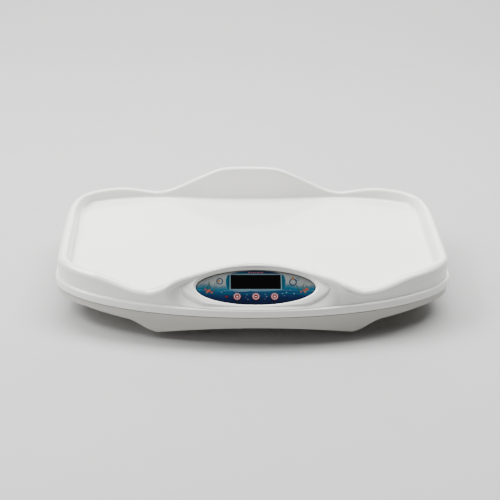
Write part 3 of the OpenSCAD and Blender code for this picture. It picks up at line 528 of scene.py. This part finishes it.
@dataclass(frozen=True)
class Panel:
    """The tilted plane of the display, and what is laid out on it."""

    tilt: float = 40.7
    y: float = -141.6
    z: float = 76.5
    a: float = 82.0
    b: float = 25.3
    key_pitch: float = 25.4
    key_down: float = 13.3

    def at(self, p: Sequence[float]) -> Point:
        """Args: p: a point on the panel, as across, up and out. Returns: it in the row frame."""
        c, s = math.cos(math.radians(self.tilt)), math.sin(math.radians(self.tilt))
        return p[0], self.y + p[1] * c - p[2] * s, self.z + p[1] * s + p[2] * c

    def oval(self, grow: float, out: float, n: int = 160) -> list[Point]:
        """The panel's ellipse, larger by grow, at a height."""
        return [self.at(((self.a + grow) * math.cos(t), (self.b + grow) * math.sin(t), out)) for t in turn(n)]


@dataclass(frozen=True)
class PodForm:
    """The eye-shaped raised surround of the display."""

    panel: Panel
    half_w: float = 109.5
    up: float = 37.5
    down: float = 42.0
    lift: float = 3.4

    def arc(self, rise: float, k: float, x: float) -> float:
        """Height at x of the arc that rises between the corners, moved in by k."""
        r = (self.half_w ** 2 + rise * rise) / (2 * rise)
        return rise - r + math.sqrt((r - k) ** 2 - x * x)

    def eye(self, k: float, n: int = 96) -> list[Flat]:
        """The eye's outline.

        Args:
            k: How much smaller it is.
            n: Pieces in each arc.

        Returns:
            Points on the panel, counter-clockwise from the right corner.
        """
        a, b = 0.0, self.half_w
        for _ in range(50):
            m = (a + b) / 2
            a, b = (m, b) if self.arc(self.up, k, m) > -self.arc(self.down, k, m) else (a, m)
        xs = [a * math.cos(math.pi * i / n) for i in range(n + 1)]
        top = [(x, self.arc(self.up, k, x)) for x in xs]
        return top + [(x, -self.arc(self.down, k, x)) for x in reversed(xs[1:-1])]

    def blank(self, name: str, k: float, depth: float) -> bpy.types.Object:
        """The pod with a rounded top that leans back a little.

        Args:
            name: The mesh's name.
            k: How much smaller it is.
            depth: How far it goes under the panel.

        Returns:
            A closed mesh.
        """
        c, s = math.cos(math.radians(4.2)), math.sin(math.radians(4.2))
        rings = [[self.panel.at((x, y, -depth)) for x, y in self.eye(k)]]
        for v, w in spline([(0, -4.5), (0.5, -2.6), (1.8, -1), (4.2, 0)], 4):
            z = self.lift - k + w
            rings.append([self.panel.at((x, y * c - z * s, y * s + z * c)) for x, y in self.eye(k + v)])
        return loft(name, rings)


# ---- Pieces ---------------------------------------------------------------------


@dataclass
class TrayShell:
    """The white tray with its raised display surround."""

    form: TrayForm = field(default_factory=TrayForm)
    panel: Panel = field(default_factory=Panel)
    post_spots: tuple[Flat, ...] = tuple((x * 54, y * 15) for x in (-1, 1) for y in (-1, 1))
    boss_spots: tuple[Flat, ...] = tuple((x * 100, 20 + y * 64) for x in (-1, 1) for y in (-1, 1))

    def build(self, wardrobe: Wardrobe) -> bpy.types.Object:
        """Builds the shell, dresses it and lets it stand for the CAD tray.

        Args:
            wardrobe: The finishes.

        Returns:
            The shell.
        """
        form, panel = self.form, self.panel
        pod = PodForm(panel)
        shell = form.skin("tray_shell", form.outer, 0.0, form.flange_z)
        bow = self.bow("bow", 5.0, 54.5)
        face = combine(pod.blank("pod", 0.0, 12.0), [bow], "INTERSECT")
        combine(shell, [face], "UNION")
        combine(shell, [form.skin("hollow", form.inner, form.wall, form.flange_z - 1)], "DIFFERENCE")
        back_wall = self.block((-120, -300, 0), (120, panel.y + 15.3, 200))
        hollow = pod.blank("cavity", form.wall + 3.1, 9.0)
        cavity = combine(hollow, [self.bow("bow", 11.7, 53.5), back_wall], "INTERSECT")
        combine(shell, [cavity], "DIFFERENCE")
        backing = [(84.5 * math.cos(t), 26.9 * math.sin(t)) for t in turn(160)]
        combine(shell, [self.prism(backing, -3.9, -1.2)], "UNION")
        for (px, py), (bx, by) in zip(self.post_spots, self.boss_spots):
            combine(shell, [self.post(px, py, 3.0, -11.5, -3.4)], "UNION")
            combine(shell, [self.boss(bx, by, 5.0, 54.0, 63.2)], "UNION")
        cuts = [self.seat(), self.prism(rounded(63, 17, 1, 8), -6, 0), self.prism(disc(-39.9, -13.0, 1.8), -6, 2)]
        cuts += [self.prism(disc(i * panel.key_pitch, -panel.key_down, 5.8), -6, 2) for i in (-1, 0, 1)]
        combine(shell, cuts, "DIFFERENCE")
        for (px, py), (bx, by) in zip(self.post_spots, self.boss_spots):
            bores = [self.post(px, py, 1.15, -12.5, -5.0), self.boss(bx, by, 2.05, 53.0, 62.0)]
            combine(shell, bores, "DIFFERENCE")
        crease(shell, 32)
        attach(shell, "tray_unit")
        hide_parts("tray")
        wardrobe.dress(shell, "tray")
        return shell

    def seat(self) -> bpy.types.Object:
        """The dished recess that the fascia lies in.

        Returns:
            A closed mesh for cutting with.
        """
        panel = self.panel
        dish = spline([(0.9, 0.7), (2.6, 2.6), (3.8, 4.2), (4.6, 5.6), (5.4, 7.4)], 3)
        steps = [(0, -1.2), (0, 0.15), (0.35, 0.3)] + dish + [(5.6, 20)]
        return loft("seat", [panel.oval(g, z) for g, z in steps])

    def bow(self, name: str, u: float, z: float) -> bpy.types.Object:
        """A tall disc whose front edge follows the front of the tray.

        Args:
            name: The mesh's name.
            u: How far inside the tray's outline it lies.
            z: Where it starts.

        Returns:
            A closed mesh.
        """
        r = self.form.half_w ** 2 / self.form.front_d
        cy = self.form.wide_y - self.form.front_d + r
        ring = [((r - u) * math.cos(t), cy + (r - u) * math.sin(t)) for t in turn(720, 0.5)]
        return loft(name, [[(x, y, h) for x, y in ring] for h in (z, 150)])

    def block(self, low: Point, high: Point) -> bpy.types.Object:
        """A plain box for cutting with."""
        ring = [(low[0], low[1]), (high[0], low[1]), (high[0], high[1]), (low[0], high[1])]
        return loft("block", [[(x, y, h) for x, y in ring] for h in (low[2], high[2])])

    def prism(self, ring: Sequence[Flat], low: float, high: float) -> bpy.types.Object:
        """A prism on the panel."""
        return loft("prism", [[self.panel.at((x, y, h)) for x, y in ring] for h in (low, high)])

    def post(self, x: float, y: float, r: float, low: float, high: float) -> bpy.types.Object:
        """A round post square to the panel."""
        return self.prism(disc(x, y, r), low, high)

    def boss(self, x: float, y: float, r: float, low: float, high: float) -> bpy.types.Object:
        """An upright round boss."""
        return loft("boss", [[(px, py, h) for px, py in disc(x, y, r)] for h in (low, high)])


def disc(x: float, y: float, r: float, n: int = 48) -> list[Flat]:
    """A circle's points."""
    return [(x + r * math.cos(t), y + r * math.sin(t)) for t in turn(n)]


def rounded(w: float, h: float, r: float, up: float, n: int = 6) -> list[Flat]:
    """A rounded rectangle on the panel.

    Args:
        w: Its width.
        h: Its height.
        r: Its corner radius.
        up: Height of its middle.
        n: Pieces in each corner.

    Returns:
        Points, counter-clockwise.
    """
    out = []
    dx, dy = w / 2 - r, h / 2 - r
    for cx, cy, start in ((dx, dy, 0), (-dx, dy, 90), (-dx, -dy, 180), (dx, -dy, 270)):
        turns = [math.radians(start + 90 * i / n) for i in range(n + 1)]
        out += [(cx + r * math.cos(t), up + cy + r * math.sin(t)) for t in turns]
    return out


INKS = {
    "teal": (0.003, 0.045, 0.075), "deep": (0.0006, 0.008, 0.03), "pale": (0.07, 0.125, 0.15),
    "black": (0.001, 0.0015, 0.002), "green": (0.008, 0.03, 0.012), "olive": (0.03, 0.04, 0.01),
    "coral": (0.24, 0.035, 0.02), "sand": (0.14, 0.07, 0.03), "rose": (0.20, 0.07, 0.09),
    "white": (0.42, 0.27, 0.28), "red": (0.20, 0.015, 0.02),
}

# Reeds and tufts: foot across and up, height, lean and width.
REEDS = ((-66, -4.5, 13.5, 4.5, 1.7), (-61.5, -7.0, 17.0, -3.5, 1.6), (58.0, -6.0, 12.0, -4.0, 1.6),
         (71.0, -3.5, 9.5, -5.5, 1.6))
TUFTS = ((-69.5, -3.5, 8.0, -1.0, 1.4), (-57.5, -8.0, 10.0, 3.2, 1.5), (63.5, -6.5, 15.0, 3.0, 1.7),
         (67.0, -5.0, 7.0, 1.0, 1.3))
# Round motifs: middle across and up, and radius.
PEBBLES = ((-64.2, -5.0, 2.3), (-60.0, -7.3, 1.5), (-68.3, -2.8, 1.2), (69.4, -2.6, 2.1), (65.6, -4.4, 1.4),
           (61.4, -6.3, 1.2))
STONES = ((-62.4, -3.2, 1.1), (-66.6, -7.0, 1.2), (67.2, -6.5, 1.5), (-50.2, 9.5, 1.7), (50.6, 13.2, 2.0))
BUBBLES = ((-49.0, 9.0, 4.6), (-54.5, 3.8, 2.2), (50.8, 7.6, 5.2), (44.6, 1.4, 1.9), (57.0, 11.8, 2.4))
FOAM = ((-12.2, -10.4, 0.75), (-13.9, -14.2, 0.55), (-10.8, -17.0, 0.7), (12.6, -9.8, 0.7), (14.5, -13.0, 0.85),
        (12.0, -16.6, 0.5), (36.0, -8.6, 0.8), (38.6, -11.8, 0.6), (41.5, -7.4, 1.0), (-46.5, -6.6, 0.8),
        (-43.0, -4.8, 0.6), (46.8, -3.6, 0.7), (52.0, -9.0, 0.9))


@dataclass
class PanelPrint:
    """The film on the display panel: a plain seascape of waves, reeds, pebbles and bubbles."""

    panel: Panel = field(default_factory=Panel)
    parts: list[bpy.types.Object] = field(default_factory=list)
    swell_turns: float = 115.0
    swell_rise: float = 0.0011
    swash_rise: float = 0.008
    ground: tuple[tuple[float, Point], ...] = (
        (0.0, (0.0003, 0.0015, 0.010)), (0.2, (0.0006, 0.005, 0.026)), (0.36, (0.0015, 0.022, 0.06)),
        (0.46, (0.005, 0.055, 0.095)), (0.53, (0.035, 0.075, 0.095)), (0.60, (0.12, 0.135, 0.135)),
        (1.0, (0.165, 0.17, 0.165)))

    def film(self) -> bpy.types.Material:
        """The film's ground: pale above a wavy line, then teal to navy.

        Returns:
            The material.
        """
        mat = FINISHES["fascia"].material("fascia")
        tree = mat.node_tree
        node, link = tree.nodes, tree.links
        shader = node["Principled BSDF"]
        coords = node.new("ShaderNodeTexCoord")
        up = node.new("ShaderNodeVectorMath")
        up.operation = "DOT_PRODUCT"
        tilt = math.radians(self.panel.tilt)
        up.inputs[1].default_value = (0.0, math.cos(tilt), math.sin(tilt))
        link.new(coords.outputs["Object"], up.inputs[0])
        zero = (self.panel.y * math.cos(tilt) + self.panel.z * math.sin(tilt)) * MM
        split = node.new("ShaderNodeSeparateXYZ")
        link.new(coords.outputs["Object"], split.inputs[0])
        swell = node.new("ShaderNodeMath")
        swell.operation = "SINE"
        across = node.new("ShaderNodeMath")
        across.operation = "MULTIPLY"
        across.inputs[1].default_value = self.swell_turns
        link.new(split.outputs["X"], across.inputs[0])
        link.new(across.outputs[0], swell.inputs[0])
        swash = node.new("ShaderNodeTexNoise")
        swash.inputs["Scale"].default_value = 70.0
        swash.inputs["Detail"].default_value = 5.0
        link.new(coords.outputs["Object"], swash.inputs["Vector"])
        lift = node.new("ShaderNodeMath")
        lift.operation = "MULTIPLY_ADD"
        lift.inputs[1].default_value = self.swell_rise
        link.new(swell.outputs[0], lift.inputs[0])
        link.new(up.outputs["Value"], lift.inputs[2])
        blur = node.new("ShaderNodeMath")
        blur.operation = "MULTIPLY_ADD"
        blur.inputs[1].default_value = self.swash_rise
        link.new(swash.outputs["Fac"], blur.inputs[0])
        link.new(lift.outputs[0], blur.inputs[2])
        span = node.new("ShaderNodeMapRange")
        span.inputs["From Min"].default_value = zero - 21.0 * MM
        span.inputs["From Max"].default_value = zero + 29.0 * MM
        link.new(blur.outputs[0], span.inputs["Value"])
        ramp = node.new("ShaderNodeValToRGB")
        for i, (at, colour) in enumerate(self.ground):
            stop = ramp.color_ramp.elements[i] if i < 2 else ramp.color_ramp.elements.new(at)
            stop.position, stop.color = at, (*colour, 1.0)
        link.new(span.outputs["Result"], ramp.inputs["Fac"])
        for old in list(shader.inputs["Base Color"].links):
            link.remove(old)
        link.new(ramp.outputs["Color"], shader.inputs["Base Color"])
        return mat

    def ink(self, name: str, colour: Point) -> bpy.types.Material:
        """A printed colour, a little uneven."""
        finish = Finish("fascia_film", colour, 0.3, Surface.PRINTED, drift=0.12, grain=1600.0, bump=0.01, shine=0.2)
        return finish.material(name)

    def patch(self, name: str, rings: Sequence[Sequence[Flat]], ink: bpy.types.Material, out: float = 0.04,
              body: str = "tray_unit") -> bpy.types.Object:
        """Prints closed outlines as one thin piece.

        Args:
            name: The piece's name.
            rings: Outlines on the panel, counter-clockwise.
            ink: Its material.
            out: Height over the film, in millimetres.
            body: The CAD body it rides on.

        Returns:
            The piece.
        """
        points, faces = [], []
        for ring in rings:
            faces.append(tuple(range(len(points), len(points) + len(ring))))
            points += [self.panel.at((x, y, out)) for x, y in ring]
        obj = mesh_object(name, points, faces, smooth=False)
        return self.keep(obj, ink, body)

    def band(self, name: str, outer: Sequence[Flat], inner: Sequence[Flat], ink: bpy.types.Material,
             out: float = 0.04, body: str = "tray_unit") -> bpy.types.Object:
        """Prints the band between two outlines with as many points.

        Args:
            name: The piece's name.
            outer: The outer outline.
            inner: The inner outline.
            ink: Its material.
            out: Height over the film, in millimetres.
            body: The CAD body it rides on.

        Returns:
            The piece.
        """
        n = len(outer)
        points = [self.panel.at((x, y, out)) for x, y in (*outer, *inner)]
        faces = [(i, (i + 1) % n, n + (i + 1) % n, n + i) for i in range(n)]
        obj = mesh_object(name, points, faces, smooth=False)
        return self.keep(obj, ink, body)

    def keep(self, obj: bpy.types.Object, ink: bpy.types.Material, body: str) -> bpy.types.Object:
        """Dresses a print, lets it ride and keeps it.

        Args:
            obj: The print.
            ink: Its material.
            body: The CAD body it rides on.

        Returns:
            The print.
        """
        obj.data.materials.append(ink)
        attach(obj, body)
        self.parts.append(obj)
        return obj

    def ring(self, margin: float) -> list[Flat]:
        """The film's outline, smaller by a margin."""
        return [((self.panel.a - margin) * math.cos(t), (self.panel.b - margin) * math.sin(t)) for t in turn(160)]

    def inside(self, x: float, margin: float) -> float:
        """Half the film's height at x, less a margin."""
        a, b = self.panel.a - margin, self.panel.b - margin
        return b * math.sqrt(max(0.0, 1 - (x / a) ** 2))

    def wave(self, level: float, high: float, swing: float, turns: float, phase: float) -> list[Flat]:
        """A swell's outline across the film.

        Args:
            level: Its middle height on the panel.
            high: The crests' thickness.
            swing: How far it rises and falls.
            turns: Radians a millimetre.
            phase: Where the first crest lies.

        Returns:
            A closed outline, kept inside the film's edge.
        """
        reach, margin = self.panel.a - 3, 1.2
        upper, lower = [], []
        for i in range(121):
            x = -reach + 2 * reach * i / 120
            edge = self.inside(x, margin)
            base = level + swing * math.sin(turns * x + phase)
            crest = base + high * (0.5 + 0.5 * math.sin(0.5 * turns * x + 2 * phase))
            upper.append((x, max(-edge, min(edge, crest))))
            lower.append((x, max(-edge, min(edge, base - 0.15))))
        return lower + upper[::-1]

    def blade(self, x: float, y: float, height: float, lean: float, width: float) -> list[Flat]:
        """One reed, curved and tapered.

        Args:
            x: Its foot, across.
            y: Its foot, up.
            height: Its height.
            lean: How far its tip leans.
            width: Its width.

        Returns:
            A closed outline.
        """
        left, right = [], []
        for i in range(15):
            t = i / 14
            cx, cy, w = x + lean * t * t, y + height * t, width * (1 - t) ** 0.7 * (0.6 + 0.8 * t)
            left.append((cx - w / 2, cy))
            right.append((cx + w / 2, cy))
        return right + left[::-1]

    def lens_shape(self, half: float, rise: float, fall: float, x: float, y: float) -> list[Flat]:
        """A pointed lens, with its own rise and fall.

        Args:
            half: Half its length.
            rise: The upper arc's height.
            fall: The lower arc's depth.
            x: Its middle, across.
            y: Its middle, up.

        Returns:
            A closed outline.
        """
        n = 40
        turns = [math.pi * i / n for i in range(n + 1)]
        up = [(x + half * math.cos(t), y + rise * math.sin(t) ** 1.3) for t in turns]
        down = [(x - half * math.cos(t), y - fall * math.sin(t) ** 1.3) for t in turns[1:-1]]
        return up + down

    def build(self, nodes: dict[str, bpy.types.Object]) -> None:
        """Dresses the film and prints its design.

        Args:
            nodes: The CAD nodes by name.
        """
        nodes["fascia"].data.materials.clear()
        nodes["fascia"].data.materials.append(self.film())
        inks = {name: self.ink(f"ink_{name}", colour) for name, colour in INKS.items()}
        teal, deep, pale = inks["teal"], inks["deep"], inks["pale"]
        self.band("print_edge", self.ring(0.35), self.ring(1.15), inks["black"], 0.05)
        self.patch("print_swell_low", [self.wave(-17.5, 1.3, 0.7, 0.16, 0.4)], deep, 0.02)
        self.patch("print_swell_mid", [self.wave(-9.2, 1.0, 0.8, 0.13, 2.0)], teal, 0.02)
        self.patch("print_swell_high", [self.wave(-4.4, 0.9, 0.7, 0.11, 3.9)], pale, 0.02)
        self.surround(inks)
        self.shore(inks)
        for i, (x, y, r) in enumerate(BUBBLES):
            self.band(f"print_bubble_{i}", disc(x, y, r, 40), disc(x, y, r * 0.72, 40), deep if r > 4 else teal, 0.05)
        self.patch("print_foam", [disc(x, y, r, 16) for x, y, r in FOAM], pale, 0.05)
        self.keys(inks)

    def surround(self, inks: dict[str, bpy.types.Material]) -> None:
        """Prints a pale band round the window that is a painted highlight of its edges, the brackets beside it, the
        crown above and the line below.

        Args:
            inks: The inks by name.
        """
        teal, deep, pale = inks["teal"], inks["deep"], inks["pale"]
        # The pale band all round the window is a painted highlight along its edges.
        self.band("print_window_painted_highlight", rounded(71.5, 23.0, 1.6, 8), rounded(68.7, 20.7, 1.1, 8), pale, 0.06)
        turns = [math.pi * i / 24 for i in range(25)]
        for side, name in ((-1, "left"), (1, "right")):
            outer = [(side * (35.5 + 5.2 * math.sin(t)), 8 + 10.8 * math.cos(t)) for t in turns]
            inner = [(side * (35.9 + 1.8 * math.sin(t)), 8 + 10.8 * math.cos(t)) for t in turns]
            loop = outer + inner[::-1]
            self.patch(f"print_bracket_{name}", [loop if side < 0 else loop[::-1]], teal, 0.05)
        self.patch("print_crown", [self.lens_shape(33, 4.0, 0.2, 0, 19.9)], deep, 0.05)
        self.patch("print_crown_light", [self.lens_shape(11, 1.6, 0.1, -20, 20.1)], teal, 0.06)
        pips = [disc(-9 + 3 * i, 21.3, 0.8 if i % 2 else 1.05, 16) for i in range(7)]
        self.patch("print_pips", pips, inks["rose"], 0.08)
        self.patch("print_underline", [self.lens_shape(12, 0.9, 0.7, -20, -5.2)], pale, 0.05)
        self.patch("print_underline_dots", [disc(-4 + 3.1 * i, -5.3, 0.55, 12) for i in range(8)], pale, 0.05)

    def shore(self, inks: dict[str, bpy.types.Material]) -> None:
        """Prints the reeds, pebbles and stones at both ends.

        Args:
            inks: The inks by name.
        """
        self.patch("print_reeds", [self.blade(*reed) for reed in REEDS], inks["green"], 0.06)
        self.patch("print_tufts", [self.blade(*tuft) for tuft in TUFTS], inks["olive"], 0.05)
        pebbles = []
        for x, y, r in PEBBLES:
            wobble = [(r * (1 + 0.12 * math.sin(3 * t)), t) for t in turn(28)]
            pebbles.append([(x + k * math.cos(t), y + 0.72 * r * math.sin(t)) for k, t in wobble])
        self.patch("print_pebbles", pebbles, inks["coral"], 0.08)
        self.patch("print_stones", [disc(x, y, r, 24) for x, y, r in STONES], inks["sand"], 0.07)

    def keys(self, inks: dict[str, bpy.types.Material]) -> None:
        """Prints a ring and a plain mark on each key.

        Args:
            inks: The inks by name.
        """
        white, red = inks["white"], inks["red"]
        bar = [(-1.7, -0.5), (1.7, -0.5), (1.7, 0.5), (-1.7, 0.5)]
        marks = {"left": disc(0, 0, 1.5, 4), "middle": bar, "right": disc(0, 0, 1.3, 24)}
        for i, name in ((-1, "left"), (0, "middle"), (1, "right")):
            x, y, body = i * self.panel.key_pitch, -self.panel.key_down, f"key_{name}_unit"
            mark = [(x + a, y + b) for a, b in marks[name]]
            self.band(f"print_key_ring_{name}", disc(x, y, 4.2, 40), disc(x, y, 3.5, 40), white, 0.93, body)
            self.band(f"print_key_red_{name}", disc(x, y, 3.4, 40), disc(x, y, 2.5, 40), red, 0.93, body)
            self.patch(f"print_key_mark_{name}", [mark], white, 0.74, body)


# The CAD nodes that keep their own mesh, by finish.
PLAIN = {
    "window": ("window",),
    "module": ("digit_modules",),
    "segment": ("digit_segments",),
    "board": ("display_board", "power_board"),
    "chips": ("display_board_parts", "tact_switches", "power_board_parts"),
    "lamp": ("charge_lamp",),
    "steel": ("board_screws", "frame_bolts", "tray_screws", "mount_bolts", "mount_screws", "stop_screws",
              "stop_nuts", "foot_screws", "door_screw", "power_board_screws", "socket_nut"),
    "key": ("key_left", "key_middle", "key_right"),
    "plunger": ("plunger_left", "plunger_middle", "plunger_right"),
    "sheet": ("carrier_frame", "frame_spacer", "mount_spacer", "mount_plate"),
    "aluminium": ("load_cell",),
    "sealant": ("gauge_cover",),
    "base": ("base_shell", "battery_door"),
    "foot": ("feet",),
    "battery": ("battery_pack",),
    "foam": ("battery_pad",),
    "switch": ("switch_body", "charge_socket"),
    "rocker": ("rocker",),
}


@dataclass
class Leads:
    """The wires inside, as smooth round tubes."""

    panel: Panel = field(default_factory=Panel)

    def tube(self, points: Sequence[Point], radius: float, sides: int = 14) -> tuple[list, list]:
        """Sweeps a circle along a smooth path.

        Args:
            points: The path's points in millimetres.
            radius: The tube's radius.
            sides: Points round it.

        Returns:
            Its vertices and faces.
        """
        path = [Vector(p) for p in spline(points, 8)]
        side = (path[1] - path[0]).orthogonal().normalized()
        verts, faces = [], []
        for i, p in enumerate(path):
            ahead = (path[min(i + 1, len(path) - 1)] - path[max(i - 1, 0)]).normalized()
            side = (side - ahead * side.dot(ahead)).normalized()
            other = ahead.cross(side)
            verts += [tuple(p + (side * math.cos(t) + other * math.sin(t)) * radius) for t in turn(sides)]
        for i in range(0, (len(path) - 1) * sides, sides):
            faces += [(i + k, i + (k + 1) % sides, i + sides + (k + 1) % sides, i + sides + k) for k in range(sides)]
        faces += [tuple(range(sides - 1, -1, -1)), tuple(range((len(path) - 1) * sides, len(path) * sides))]
        return verts, faces

    def run(self, name: str, routes: Sequence[Sequence[Point]], radius: float) -> bpy.types.Object:
        """Joins several tubes into one piece.

        Args:
            name: The piece's name.
            routes: The tubes' paths.
            radius: Their radius.

        Returns:
            The piece.
        """
        verts, faces = [], []
        for points in routes:
            v, f = self.tube(points, radius)
            faces += [tuple(i + len(verts) for i in face) for face in f]
            verts += v
        return mesh_object(name, verts, faces)

    def build(self, wardrobe: Wardrobe) -> None:
        """Makes the three runs of wire, each in the place of its CAD lead.

        Args:
            wardrobe: The finishes.
        """
        cell = self.run("cell_cable", [self.cell_route()], CABLE_R)
        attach(cell, "tray_unit")
        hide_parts("load_cell_lead")
        wardrobe.dress(cell, "lead_grey")
        display = self.run("display_wires", [self.display_route(k) for k in (-1, 0, 1)], WIRE_R)
        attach(display, "base_unit")
        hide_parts("display_lead")
        wardrobe.dress(display, "lead_black")
        power = self.run("power_wires", [route for k in (0, 1) for route in self.power_routes(k)], WIRE_R)
        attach(power, "base_unit")
        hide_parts("power_leads")
        wardrobe.dress(power, "lead_red")

    def cell_route(self) -> list[Point]:
        """From the load cell round its end and forward to the display board.

        Returns:
            The path's points.
        """
        at = self.panel.at
        return [(55.7, 20, 37.4), (68, 20, 37.4), (74, 14, 38.4), (76, -10, 40), (76, -60, 40), (70, -92, 46),
                (56, -112, 50), at((45, -22, -16.5)), at((43, -17, -16.5)), at((43, -13.8, -16.5))]

    def display_route(self, k: int) -> list[Point]:
        """One of three wires from the power board over the plate to the display board.

        Args:
            k: Which wire: -1, 0 or 1.

        Returns:
            The path's points.
        """
        at = self.panel.at
        path = [(53, 85, 33.6), (53, 76, 33.6), (30, 62, 37), (0, 56, 41), (-80, 40, 41), (-84, 0, 41), (-78, -60, 41),
                (-62, -100, 48), at((-44, -20, -17)), at((-42, -14, -16)), at((-42, -10.9, -16))]
        return [(x + k * 1.9, y, z) for x, y, z in path]

    def power_routes(self, k: int) -> list[list[Point]]:
        """One wire of each pair, from the battery, the switch and the socket to the power board.

        Args:
            k: Which wire: 0 or 1.

        Returns:
            Three paths.
        """
        battery = [(-98.8, 29 + k * 1.9, 23), (-88 - k * 2, 29 + k * 1.9, 24), (-80 - k * 2, 60 + k * 2, 28),
                   (-30, 74 + k * 2, 32), (20, 100 + k * 2, 33 + k * 2), (26 - k * 2.6, 112 + k * 2, 36),
                   (55.2, 120 + k * 3, 36)]
        switch = [(55.4 + k * 8.4, 136.2, 32.4), (55.4 + k * 8.4, 133, 33.4), (58 + k * 6, 126.8, 37)]
        socket = [(90 + k * 4, 140.2, 32.4), (88 + k * 4, 136, 33.4), (84, 128 - k * 3, 37), (72.8, 123 - k * 3, 37)]
        return [battery, switch, socket]


@dataclass
class Studio:
    """The camera, the pale sweep and the soft lights."""

    elevation: float = 28.05
    azimuth: float = -2.341
    roll: float = 1.125
    distance: float = 1900.0
    target: Point = (-3.18, -2.477, 60.0)
    focal_px: float = 1302.8
    picture_px: float = 500.0
    sensor_mm: float = 36.0

    def camera(self) -> bpy.types.Object:
        """Makes the camera at the photograph's viewing angle.

        Returns:
            The camera.
        """
        e, a, r = (math.radians(v) for v in (self.elevation, self.azimuth, self.roll))
        back = Vector((math.sin(a) * math.cos(e), -math.cos(a) * math.cos(e), math.sin(e)))
        right0 = Vector((math.cos(a), math.sin(a), 0.0))
        up0 = back.cross(right0)
        right = right0 * math.cos(r) + up0 * math.sin(r)
        up = up0 * math.cos(r) - right0 * math.sin(r)
        data = bpy.data.cameras.new("camera")
        data.sensor_width, data.lens = self.sensor_mm, self.focal_px / self.picture_px * self.sensor_mm
        data.clip_start, data.clip_end = 0.05, 50.0
        cam = bpy.data.objects.new("camera", data)
        bpy.context.scene.collection.objects.link(cam)
        eye = Vector(self.target) * MM + back * self.distance * MM
        cam.matrix_world = Matrix.Translation(eye) @ Matrix((right, up, back)).transposed().to_4x4()
        bpy.context.scene.camera = cam
        return cam

    def lamp(self, name: str, place: Point, aim: Point, size: Flat, power: float) -> None:
        """Adds one soft box.

        Args:
            name: Its name.
            place: Where it hangs, in metres.
            aim: The point that it faces.
            size: Its width and height.
            power: Its watts.
        """
        data = bpy.data.lights.new(name, "AREA")
        data.shape, data.size, data.size_y = "RECTANGLE", size[0], size[1]
        data.energy = power
        obj = bpy.data.objects.new(name, data)
        bpy.context.scene.collection.objects.link(obj)
        obj.location = place
        obj.rotation_euler = (Vector(aim) - Vector(place)).to_track_quat("-Z", "Y").to_euler()

    def sweep(self) -> bpy.types.Object:
        """A floor that curves up into a backdrop.

        Returns:
            The surface, which is staging and no part of the model.
        """
        start, r, top, sink = 1.0, 1.2, 4.0, 0.3
        curve = [(start + r * math.sin(t), r - r * math.cos(t)) for t in quarter(16, range(1, 17))]
        profile = [(-3.0, 0.0), (start, 0.0), *curve, (start + r, top)]
        across = (-4.0, -2.0, 0.0, 2.0, 4.0)
        n = len(across)
        points = [(x / MM, y / MM, z / MM - sink) for y, z in profile for x in across]
        faces = [(i + j, i + j + 1, i + n + j + 1, i + n + j)
                 for i in range(0, (len(profile) - 1) * n, n) for j in range(n - 1)]
        obj = mesh_object("sweep", points, faces)
        paper = Finish("", (0.45, 0.45, 0.447), 0.6, drift=0.01, grain=60.0, bump=0.0)
        obj.data.materials.append(paper.material("sweep"))
        return obj

    def build(self) -> None:
        """Sets up the sweep, the lights and the sky."""
        self.sweep()
        self.lamp("key", (-1.5, 0.1, 1.75), (0.0, 0.0, 0.0), (1.1, 1.1), 70.0)
        self.lamp("top_strip", (0.12, 0.46, 1.6), (0.0, 0.05, 0.0), (2.6, 0.65), 92.0)
        self.lamp("back_strip", (0.5, 1.8, 1.0), (0.0, 0.1, 0.1), (2.8, 0.9), 30.0)
        self.lamp("fill", (-1.3, -0.9, 0.8), (0.0, 0.0, 0.05), (0.9, 0.9), 7.0)
        world = bpy.data.worlds.new("sky")
        bpy.context.scene.world = world
        world.use_nodes = True
        world.node_tree.nodes["Background"].inputs["Color"].default_value = (0.9, 0.9, 0.88, 1.0)
        world.node_tree.nodes["Background"].inputs["Strength"].default_value = 0.07


def main() -> None:
    """Builds and dresses each sub-assembly in turn."""
    logging.basicConfig(level=logging.INFO, format="%(name)s: %(message)s")
    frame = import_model()
    nodes = frame["nodes"]
    studio = Studio()
    studio.camera()
    wardrobe = Wardrobe()
    shell = TrayShell().build(wardrobe)
    LOG.info("tray shell: %d faces", len(shell.data.polygons))
    prints = PanelPrint()
    prints.build(nodes)
    LOG.info("panel print: %s", ", ".join(obj.name for obj in prints.parts))
    for finish, names in PLAIN.items():
        for name in names:
            wardrobe.dress(nodes[name], finish)
            LOG.info("dressed: %s", name)
    Leads().build(wardrobe)
    LOG.info("leads laid")
    studio.build()


if __name__ == "__main__":
    main()
